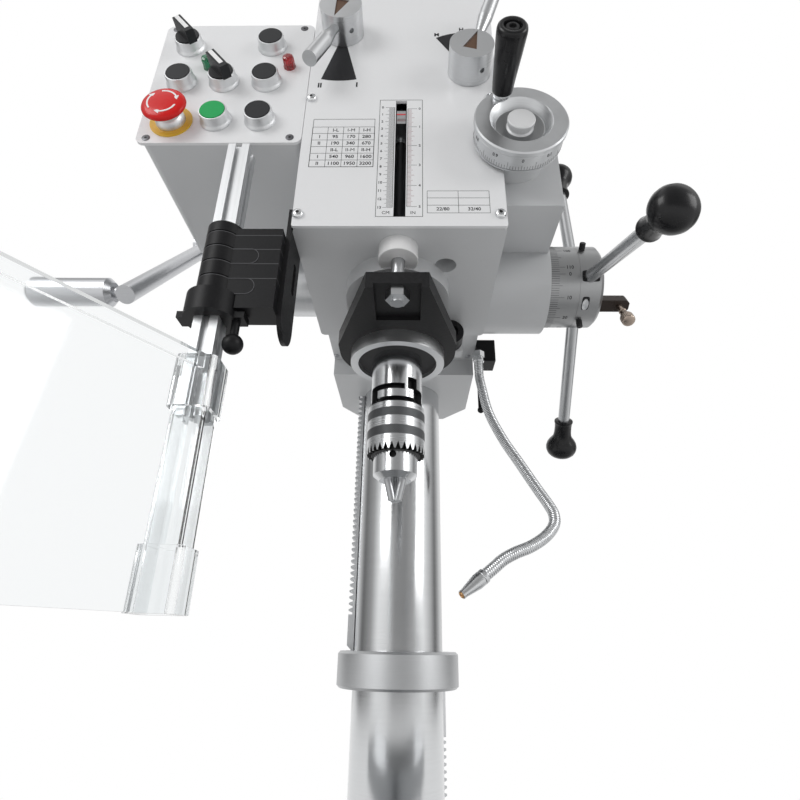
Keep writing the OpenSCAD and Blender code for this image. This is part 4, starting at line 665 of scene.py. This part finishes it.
# Gear levers: turned aluminium hubs, each with a barrel-shaped lever that stands out from it. A
# wedge milled in the hub's face and filled with brown points along the lever.
satin_aluminium = machined("satin_aluminium", (0.68, 0.69, 0.70), 0.27, "y", lines=30, relief=8e-6)
dress(satin_aluminium, "gear_lever_left", "gear_lever_right")
brown_infill = ink("brown_infill", (0.090, 0.050, 0.030))
lever_face = -433.7
wedge = [(-9.6, -3.2), (-8.6, -6.2), (-6.4, -7.2), (19, -0.4), (19, 0.4), (-6.4, 7.2), (-8.6, 6.2),
         (-9.6, 3.2)]
for lever, (x, z), angle in zip(("gear_lever_left", "gear_lever_right"), lever_places, (-106, 72)):
    piece(f"{lever}_wedge", [prism(wedge, (x, lever_face, z), -0.1, 0.7, *directions(angle))],
          brown_infill, lever)

# The fine feed handwheel is turned aluminium: a flat rim, a conical step down to a dished floor,
# a raised centre cap, and a graduated ring behind. Its grip turns on a bolt.
wheel = (113, -433, 1435)
wheel_rim = Finish("wheel_rim", (0.55, 0.56, 0.57), 0.32, 1.0)
wheel_lines = wheel_rim.grain(40, (1, 60, 1), 3.0, 0.6)
wheel_cloud = wheel_rim.grain(70, detail=3.0)
wheel_tone = wheel_rim.mixed(wheel_lines, (0.50, 0.51, 0.52), (0.68, 0.69, 0.70))
x, _, z = wheel_rim.axes()
off_axis = away(x - wheel[0] / 1000, z - wheel[2] / 1000)
cap_radius, floor_radius = 0.0128, 0.0226
# Painted shade: the dished floor between the cap and the conical step is darker, as shade in its recess.
on_cap, dish_shade = off_axis < cap_radius, (off_axis > cap_radius) * (off_axis < floor_radius)
wheel_tone = wheel_rim.mixed(dish_shade, wheel_tone, (0.30, 0.305, 0.31))
wheel_rim.feed("Base Color", wheel_rim.mixed(on_cap, wheel_tone, (0.74, 0.745, 0.75)))
wheel_rim.feed("Metallic", 1 - on_cap * 0.7)
wheel_rim.feed("Roughness", 0.26 + wheel_lines * 0.1 + wheel_cloud * 0.08 + on_cap * 0.2)
wheel_rim.relief(wheel_lines, 8e-6, 0.5)
wheel_profile = [(0, -25.7), (15, -25.7), (15, -24), (40.4, -24), (40.9, -23.5), (40.9, -22.2),
                 (39.9, -21.8), (39.9, -21.2), (41.4, -20.8), (41.4, -7.4), (41, -7), (41, -6.4),
                 (42.2, -6), (43, -5), (43, -1.4), (41.8, -0.1), (29, 0), (27.8, -0.8), (22.9, -8.6),
                 (21.6, -9.2), (12, -9.2), (10.8, -8.4), (10.8, -5.6), (11.4, -4.9), (12.4, -4.4),
                 (12.7, -3.6), (12.7, -0.4), (12, 0.4), (0, 0.5)]
handwheel = piece("fine_feed_wheel", [turned(wheel_profile, wheel, OUT, 128)], wheel_rim, "feed_wheel",
                  sharp=25)
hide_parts("feed_wheel")
n, mark, quarter, ring_radius = np.arange(100), 2 * math.pi / 100, 1.571, 41.4
mark_ends = np.select([n % 10 == 0, n % 5 == 0], [-13.5, -15.5], -17)
wheel_marks = [ticks(wheel, OUT, ring_radius, n * mark, -20.6, mark_ends, 0.3)]
wheel_marks += [figures(f"{i / 10:.1f}" if i else "0", 3.2,
                        drum=(wheel, OUT, ring_radius, i * 10 * mark - quarter, -10.6))
                for i in range(10)]
piece("fine_feed_marks", wheel_marks, black_ink, "feed_wheel", sharp=20)
gloss_black = Finish("gloss_black", (0.012, 0.012, 0.013), 0.16, Specular_IOR_Level=0.3)
gloss_cloud = gloss_black.grain(120, detail=3.0)
gloss_black.vary(gloss_cloud, (0.006, 0.006, 0.007), (0.012, 0.012, 0.013), 0.17, 0.10)
gloss_black.relief(gloss_black.grain(500), 2e-5, 0.3)
black_bolt = ink("black_bolt", (0.016, 0.016, 0.017))
grip = (96.4, -433, 1464.9)
grip_profile = [(0, 5), (8.8, 5), (9.4, 5.6), (9.6, 8), (10.6, 22), (12.2, 42), (13.2, 57),
                (13.2, 60), (12.6, 62.4), (11.2, 63.8), (9.6, 64), (8, 63.6), (7.5, 62.6),
                (7.3, 59.2), (0, 59.2)]
handle = piece("wheel_grip", [turned(grip_profile, grip, OUT, 64)], gloss_black, "feed_wheel_grip",
               sharp=40)
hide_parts("feed_wheel_grip")
collar = [(0, 0.1), (7.2, 0.1), (7.8, 0.8), (7.8, 3.4), (7, 5.2), (0, 5.2)]
piece("wheel_grip_collar", [turned(collar, grip, OUT, 48)], chrome, "feed_wheel_grip")
bolt = [(0, 58), (5.6, 58), (5.8, 58.4), (5.8, 62), (5.2, 62.7), (3.3, 62.8), (3.1, 62.2), (3.1, 60.2),
        (0, 60.2)]
piece("wheel_grip_bolt", [turned(bolt, grip, OUT, 36)], black_bolt, "feed_wheel_grip")

# The quill feed: a graduated steel dial and a hub on the cross shaft, three steel spokes with
# black ball knobs, and the clutch bar with its knurled bronze screw.
dial_steel = machined("dial_steel", (0.40, 0.405, 0.41), 0.32, "x", lines=40)
dress(dial_steel, "feed_dial", "feed_hub")
spoke_steel = machined("spoke_steel", (0.58, 0.59, 0.60), 0.26, "x", lines=12, relief=5e-6)
dress(spoke_steel, "feed_spokes")
dial = (173.9, feed_y, feed_z)
dial_radius, dial_zero, per_mm = 49, math.radians(197.5), 1 / 18
mm = np.arange(113)
mark_ends = np.select([mm % 10 == 0, mm % 5 == 0], [17.8, 14.5], 11)
dial_marks = [ticks(dial, RIGHT, dial_radius, dial_zero + mm * per_mm, 0.6, mark_ends, 0.35)]
dial_marks += [figures(str(i * 10), 4.2, level=True,
                       drum=(dial, RIGHT, dial_radius, dial_zero + 10 * i * per_mm, 23.2))
               for i in range(12)]
piece("feed_dial_marks", dial_marks, black_ink, "feed_hub", sharp=20)


def hub_patch(angle, start, end, long, low, high, corner=0.45):
    """A thin plate bent round the hub, from start to end along the shaft and `long` round it, with
    corners rounded off as a superellipse."""
    corners = 32
    t = np.linspace(0, 2 * math.pi, corners, endpoint=False)
    middle, half, centre = (start + end) / 2, (end - start) / 2, math.radians(angle)
    along = middle + half * np.sign(np.cos(t)) * np.abs(np.cos(t)) ** corner
    turn = centre - long / 2 / dial_radius * np.sign(np.sin(t)) * np.abs(np.sin(t)) ** corner
    spots = [on_drum(dial, RIGHT, r, turn, along) for r in (low, high)]
    spots += [np.repeat(on_drum(dial, RIGHT, [r], [centre], [middle]), corners, 0) for r in (low, high)]
    return grid(np.stack([spots[2], spots[0], spots[1], spots[3]]))


spoke_angles, window_angles, stud_angles = (-40, 80, 200), (-2.5, 117.5, 237.5), (30, 150, 270)
# Painted shade: black patches round the spoke roots and in the three windows stand for the shade in the
# holes. A chrome patch lies in each window.
slots = [hub_patch(angle, 36.9, 57.4, 13.4, 48.9, 49.1, 0.3) for angle in spoke_angles]
slots += [hub_patch(angle, 38.6, 47.4, 16.6, 48.9, 49.12) for angle in window_angles]
piece("feed_hub_slot_shades", slots, recess_shade, "feed_hub", sharp=20)
panes = [hub_patch(angle + 2, 39.4, 46.6, 12.8, 49, 49.3, 0.8) for angle in window_angles]
piece("feed_hub_windows", panes, chrome, "feed_hub", sharp=20)
studs, stud = [], [(0, 44, 0), (3.5, 44, 0), (3.5, 50, 0.3), (3.5, 56.4, 0.3), (2.9, 57, 0), (0, 57, 0)]
for angle in stud_angles:
    out = on_drum((0, 0, 0), RIGHT, 1, math.radians(angle), 0)
    studs.append(turned(stud, (dial[0] + 42, feed_y, feed_z), out, 36))
piece("feed_hub_studs", studs, black_bolt, "feed_hub")
knob_profile = [(0, -39), (11.2, -39), (12.2, -38.4), (12.4, -37), (11.9, -35.8), (11.5, -34),
                (11.2, -29), (11.4, -21), (12.2, -15), (14.2, -11), (17.2, -7.2), (19.8, -2.6),
                (20.9, 2), (20.6, 6.6), (18.8, 11), (15.4, 14.6), (10.8, 17), (5.6, 18.2), (0, 18.6)]
knobs, tilt, knob_reach = [], math.radians(2.6), 225
spoke_foot = np.array([218.2, feed_y, feed_z])
for a in np.radians(spoke_angles):
    out = np.array([math.sin(tilt), math.cos(tilt) * math.cos(a), math.cos(tilt) * math.sin(a)])
    knobs.append(turned(knob_profile, spoke_foot + knob_reach * out, out, 56))
balls = piece("spoke_balls", knobs, gloss_black, "feed_hub", sharp=40)
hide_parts("spoke_knobs")
bar_turn, bar_x, screw_x = math.radians(60), 237.1, 262.1
toward = np.array([0, -math.cos(bar_turn), -math.sin(bar_turn)])
upward = np.array([0, -math.sin(bar_turn), math.cos(bar_turn)])
bar_foot = (bar_x, feed_y - 7, feed_z - 28)
bar_outline = [(0, -7.5), (33, -7.5), (37, -4), (37, 4), (33, 7.5), (0, 7.5)]
boss = [(0, 0), (7, 0), (8, 1), (8, 7), (7, 8), (0, 8)]
oiled_iron = ink("oiled_iron", (0.030, 0.022, 0.018))
clutch_bar = piece("clutch_bar", [prism(bar_outline, bar_foot, -7.5, 7.5, RIGHT, upward, toward),
                                  turned(boss, (bar_x, feed_y, feed_z), RIGHT, 36)],
                   oiled_iron, "feed_hub", rounded=0.8)
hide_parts("feed_clutch")
bronze = machined("bronze", (0.46, 0.38, 0.32), 0.30, "y", lines=60)
screw = [(0, -12, 0), (5.2, -12, 0), (5.4, -8, 0), (3.4, -7.4, 0), (3.4, 20, 0), (4.2, 20.4, 0),
         (4.2, 22, 0), (3.6, 22.6, 0), (4.4, 27, 0), (6.2, 33.4, 0), (7.3, 35, 0.4), (7.5, 36, 0.4),
         (7.5, 43, 0.4), (7, 44.6, 0.3), (5.6, 45.6, 0), (0, 46, 0)]
piece("clutch_screw", [turned(screw, (screw_x, *bar_foot[1:]), toward, 72)], bronze, "feed_hub",
      sharp=40)

# The quill, its ring, the spindle nose and the keyed chuck are turned and ground steel. The
# sleeve of the chuck has two knurled bands, and a black seal closes the bearing.
quill_steel = machined("quill_steel", (0.66, 0.67, 0.68), 0.22, "z", lines=30, relief=8e-6)
dress(quill_steel, "quill")
spindle_front = 0.272  # metres, from the column's axis forward to the spindle's


def blacked(name, hidden, low, high, top=9.0):
    """Turned steel round the spindle, with painted shade: black inside the radius `hidden` between
    two heights, where recesses lie in shadow, and black above `top`, also as shade."""
    finish = machined(name, (0.66, 0.67, 0.68), 0.22, "z", lines=30, relief=8e-6)
    x, y, z = finish.axes()
    deep = (away(x, y + spindle_front) < hidden) * (z > low) * (z < high)
    deep = deep.maths("MAXIMUM", deep, z > top)
    finish.vary(deep, (0.64, 0.65, 0.66), (0.010, 0.010, 0.011), 0.20, 0.35)
    finish.feed("Metallic", 1 - deep * 0.8)
    return finish


# Painted shade in the recesses of the spindle nose and the chuck body, and on the chuck body above 1.2143
# m.
dress(blacked("spindle_steel", 0.0254, 1.2200, 1.2440), "spindle")
dress(blacked("chuck_steel", 0.0211, 1.1550, 1.1665, 1.2143), "chuck_body")
ring_steel = machined("ring_steel", (0.74, 0.75, 0.76), 0.32, "z", lines=24, relief=4e-6, swing=0.05)
dress(ring_steel, "quill_ring")
dress(black_bolt, "spindle_bearings")
jaw_steel = machined("jaw_steel", (0.50, 0.51, 0.52), 0.30, "x", lines=30)
dress(jaw_steel, "chuck_jaw_1", "chuck_jaw_2", "chuck_jaw_3")
sleeve_steel = Finish("sleeve_steel", (0.60, 0.61, 0.62), 0.26, 1.0)
x, y, z = sleeve_steel.axes()
bearing = x.maths("ARCTAN2", x, y + spindle_front)
knurls, knurl_turns, knurl_slant = ((1.1994, 1.2083), (1.1808, 1.1900)), 75, 2900
band = sum((z > low) * (z < high) for low, high in knurls)
one_way = x.maths("SINE", bearing * knurl_turns + z * knurl_slant)
other_way = x.maths("SINE", bearing * knurl_turns - z * knurl_slant)
diamonds = one_way.maths("MAXIMUM", one_way, other_way) * 0.5 + 0.5
sleeve_lines = sleeve_steel.grain(40, (1, 1, 55), 3.0, 0.6)
plain_tone = sleeve_steel.mixed(sleeve_lines, (0.50, 0.51, 0.52), (0.68, 0.69, 0.70))
# Painted shade: the knurled bands are nearly black in a diamond pattern, for the shade in their grooves.
# The same pattern sinks their relief.
knurl_shade_tone = sleeve_steel.mixed(diamonds, (0.020, 0.020, 0.022), (0.16, 0.165, 0.17))
# Painted shade: the sleeve is nearly black between its teeth and under them, below 1.1744 m.
tooth_root, tooth_top = 0.0280, 1.1744
tooth_gap_shade = (away(x, y + spindle_front) < tooth_root) * (z < tooth_top)
sleeve_tone = sleeve_steel.mixed(band, plain_tone, knurl_shade_tone)
sleeve_steel.feed("Base Color", sleeve_steel.mixed(tooth_gap_shade, sleeve_tone, (0.03, 0.03, 0.03)))
sleeve_steel.feed("Roughness", 0.2 + sleeve_lines * 0.12 + band * 0.2 + tooth_gap_shade * 0.2)
sleeve_steel.relief(sleeve_lines * 0.05 + band * (diamonds - 1), 2.5e-4, 0.7)
dress(sleeve_steel, "chuck_sleeve")

# The cast yoke clamps the quill and carries the depth rod. The rod is painted dark inside the
# plate's slot, as shade behind the plate, and its bright pointer, which shows in the slot, has a red
# line.
black_iron = Finish("black_iron", (0.014, 0.014, 0.015), 0.45, Specular_IOR_Level=0.2)
pitting = black_iron.grain(420, detail=4.0)
black_iron.vary(pitting, (0.007, 0.007, 0.008), (0.020, 0.020, 0.021), 0.36, 0.2)
black_iron.relief(pitting, 2.5e-4, 0.5)
dress(black_iron, "stop_yoke", "quill_lock", "guard_bracket")
rod_steel = machined("rod_steel", (0.55, 0.56, 0.57), 0.30, "z", lines=30, relief=4e-6)
height = rod_steel.axes()[2]
# Painted shade where the rod runs behind the plate's slot.
rod_slot_shade = (height > 1.345) * (height < 1.466)
rod_steel.vary(rod_slot_shade, (0.56, 0.57, 0.58), (0.085, 0.085, 0.09), 0.28, 0.25)
dress(rod_steel, "depth_rod")
piece("pointer_line", [bars([[-1.4, -404.2, 1477.4]], [[7.4, -403.6, 1478.6]])], red_ink, "quill")

# The guard: a moulded black clamp on a bracket holds an aluminium slotted rail, which carries a
# bent clear screen. The collar with its knob sets the rail's height.
groove_edges = (1.2724, 1.2874, 1.3024, 1.3174)


def dark_moulding(name, edges=()):
    """Black nylon with a fine grain. `edges` are heights in metres where a thin line at the edge of a
    groove is painted paler, as a highlight."""
    finish = Finish(name, (0.010, 0.010, 0.011), 0.40, Specular_IOR_Level=0.18)
    moulding, dark, pale = finish.grain(650, detail=3.0), (0.006, 0.006, 0.007), (0.013, 0.013, 0.014)
    finish.vary(moulding, dark, pale, 0.32, 0.16)
    finish.relief(moulding, 8e-5, 0.5)
    if edges:
        # Painted highlights: a thin paler line at each groove edge.
        z, line = finish.axes()[2], 0.0006
        groove_highlight = sum((z > low) * (z < low + line) for low in edges)
        tone = finish.mixed(moulding, dark, pale)
        finish.feed("Base Color", finish.mixed(groove_highlight, tone, (0.09, 0.09, 0.095)))
    return finish


black_plastic = dark_moulding("black_plastic")
dress(black_plastic, "guard_collar", "coolant_tap")
dress(dark_moulding("clamp_plastic", groove_edges), "guard_clamp")
rail_aluminium = Finish("rail_aluminium", (0.66, 0.67, 0.68), 0.36, 1.0)
drawn = rail_aluminium.grain(260, (1, 1, 0.02), 3.0, 0.7)
rail_aluminium.vary(drawn, (0.60, 0.61, 0.62), (0.80, 0.81, 0.82), 0.40, 0.12)
rail_aluminium.relief(drawn, 3e-5, 0.5)
dress(rail_aluminium, "guard_pole")
clear_sheet = Finish("clear_sheet", (0.93, 0.945, 0.95), 0.03, Transmission_Weight=1.0, IOR=1.45)
clear_sheet.feed("Roughness", 0.02 + clear_sheet.grain(25, detail=3.0) * 0.05)
clear_sheet.relief(clear_sheet.grain(12), 4e-4, 0.2)
dress(clear_sheet, "guard_shield")
edge_light = ink("edge_light", (0.075, 0.075, 0.08))
clamp_face, finger_root, finger_end, half = -413.0, -137, -121.3, 7.6


def stroke(points, wide, place, low, high):
    """A narrow raised line that follows points on the front face."""
    path = np.array(points, float)
    way = unit(np.gradient(path, axis=0))
    offset = np.stack([-way[:, 1], way[:, 0]], -1) * wide / 2
    return prism(np.vstack([path + offset, (path - offset)[::-1]])[::-1], place, low, high)


# Painted highlights: pale strokes outline the clamp's two fingers on its front face.
fingers = []
bow = np.radians(np.linspace(-90, 90, 15))
for z in (1295.5, 1265):
    rounded = np.stack([finger_end + 7 * np.cos(bow), z + half * np.sin(bow)], -1)
    loop = np.vstack([[(finger_root, z - half)], rounded, [(finger_root, z + half)]])
    fingers.append(stroke(loop, 0.5, (0, clamp_face, 0), -0.2, 0.35))
piece("guard_clamp_fingers", fingers, edge_light, "head")

# The control box is folded sheet. Its panel carries satin bezels with black and green caps,
# two turn switches, two lamps and the red stop button on its yellow disc.
dress(casting_paint, "control_box", "motor")
bezel_silver = machined("bezel_silver", (0.80, 0.81, 0.82), 0.42, "y", lines=30, relief=4e-6, swing=0.06)
fittings = [(-224, 1581), (-136, 1581), (-224, 1525), (-180, 1525), (-136, 1525), (-180, 1469),
            (-136, 1469)]
stop_place = (-224, 1467)
bezel = [(0, -2), (11, -2), (11, 0), (15.6, 0), (15.8, 0.5), (15.4, 2.2), (14.6, 3), (14, 4.4),
         (13.8, 10.8), (13.2, 11.9), (12.5, 12), (12.15, 11.4), (12.1, 6), (0, 6)]
stop_bezel = [(0, -2), (11, -2), (11, 0), (13.6, 0.2), (14.8, 1.6), (14.6, 4), (13.4, 7.6),
              (12.1, 9), (11.9, 12), (0, 12)]
rings = piece("button_bezels", [turned(bezel, at(x, z), OUT, 56) for x, z in fittings]
              + [turned(stop_bezel, at(*stop_place), OUT, 56)], bezel_silver, "head")
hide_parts("panel_fittings")
yellow = painted("stop_yellow", (0.75, 0.46, 0.02), 0.4, peel=300, relief=5e-5)
disc = [(13, -0.1), (21, -0.1), (21, 1.2), (20.6, 1.5), (13, 1.5)]
piece("stop_disc", [turned(disc, at(*stop_place), OUT, 72, closed=True)], yellow, "head")


def moulded(name, colour, rough, scale=500):
    """Moulded plastic with a fine grain that breaks its gloss a little."""
    finish = Finish(name, colour, rough, Specular_IOR_Level=0.25)
    fleck = finish.grain(scale, detail=3.0)
    finish.vary(fleck, shade(colour, 0.85), colour, rough - 0.05, 0.1)
    finish.relief(fleck, 4e-5, 0.4)
    return finish


dress(moulded("cap_black", (0.016, 0.017, 0.019), 0.42), "push_button_1", "push_button_2",
      "push_button_3", "push_button_4", "selector_1", "selector_2")
dress(moulded("cap_green", (0.008, 0.40, 0.10), 0.38), "start_button")
stop_red = moulded("stop_red", (0.72, 0.012, 0.012), 0.24, 200)
white_ink = ink("white_ink", (0.80, 0.80, 0.80))
stripe = [(-10, -2.2), (13.4, -2.2), (13.4, 2.2), (-10, 2.2)]
for selector, (x, z) in (("selector_1", fittings[0]), ("selector_2", fittings[3])):
    piece(f"{selector}_stripe", [prism(stripe, (x, plate_y - 26, z), -0.3, 0.3, *directions(128))],
          white_ink, selector)
mushroom_top = [(0, 9), (10, 9), (10, 16), (17, 16.3), (20.4, 16.8), (21.5, 18), (21.4, 19.4),
                (20.2, 21), (17, 22.3), (12, 23.1), (6, 23.5), (0, 23.6)]
mushroom = piece("stop_mushroom", [turned(mushroom_top, at(*stop_place), OUT, 72)], stop_red,
                 "stop_button", sharp=50)
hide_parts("stop_button")
arrows = []
for start in (100, 220, 340):
    sweep = np.radians(np.linspace(start, start - 72, 15))
    end, point = sweep[-1:], sweep[-1:] - math.radians(20)
    outline = [arc(14.8, sweep), arc(16.8, end), arc(14, point), arc(11.4, end), arc(13.2, sweep)[::-1]]
    arrows.append(prism(np.vstack(outline)[::-1], at(*stop_place), 22.2, 23.05))
piece("stop_arrows", arrows, white_ink, "stop_button", sharp=20)


def lamp_glass(name, colour):
    """Ribbed clear plastic over a lamp, dyed through."""
    finish = Finish(name, colour, 0.12, Transmission_Weight=0.55, Coat_Weight=0.5)
    facets = finish.grain(240)
    finish.feed("Base Color", finish.mixed(facets, shade(colour, 0.35), colour))
    finish.relief(facets, 8e-4, 0.8)
    return finish


lamp = [(0, 0), (6.4, 0), (6.6, 1), (6.2, 1.6), (6, 2), (6, 9.5), (5.2, 11.2), (3.4, 12), (0, 12.2)]
for hue, place, colour in (("green", (-198.8, 1548.4), (0.0, 0.42, 0.16)),
                           ("red", (-114.5, 1548.6), (0.80, 0.01, 0.02))):
    piece(f"lamp_{hue}", [turned(lamp, at(*place), OUT, 10)], lamp_glass(f"glass_{hue}", colour),
          "head", sharp=20)

# The coolant valve is a black block on the right of the neck. A chromed hexagon ferrule under it
# holds the hose.
block = piece("valve_block", [bars([[103.2, -127, 1352]], [[129.2, -97, 1385]])], black_plastic, "head",
              rounded=1.0)
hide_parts("coolant_valve")
ferrule = (105, -132, 1348)
neck = [(0, -1), (6.9, -1), (7.4, -0.5), (7.4, 4.6), (6.9, 5.5), (0, 5.5)]
piece("hose_ferrule", [prism(hexagon(14.5, 10), ferrule, 5.5, 14, RIGHT, -OUT, UP),
                       turned(neck, ferrule, (0, 0, 1), 40)], chrome, "head", rounded=0.3)
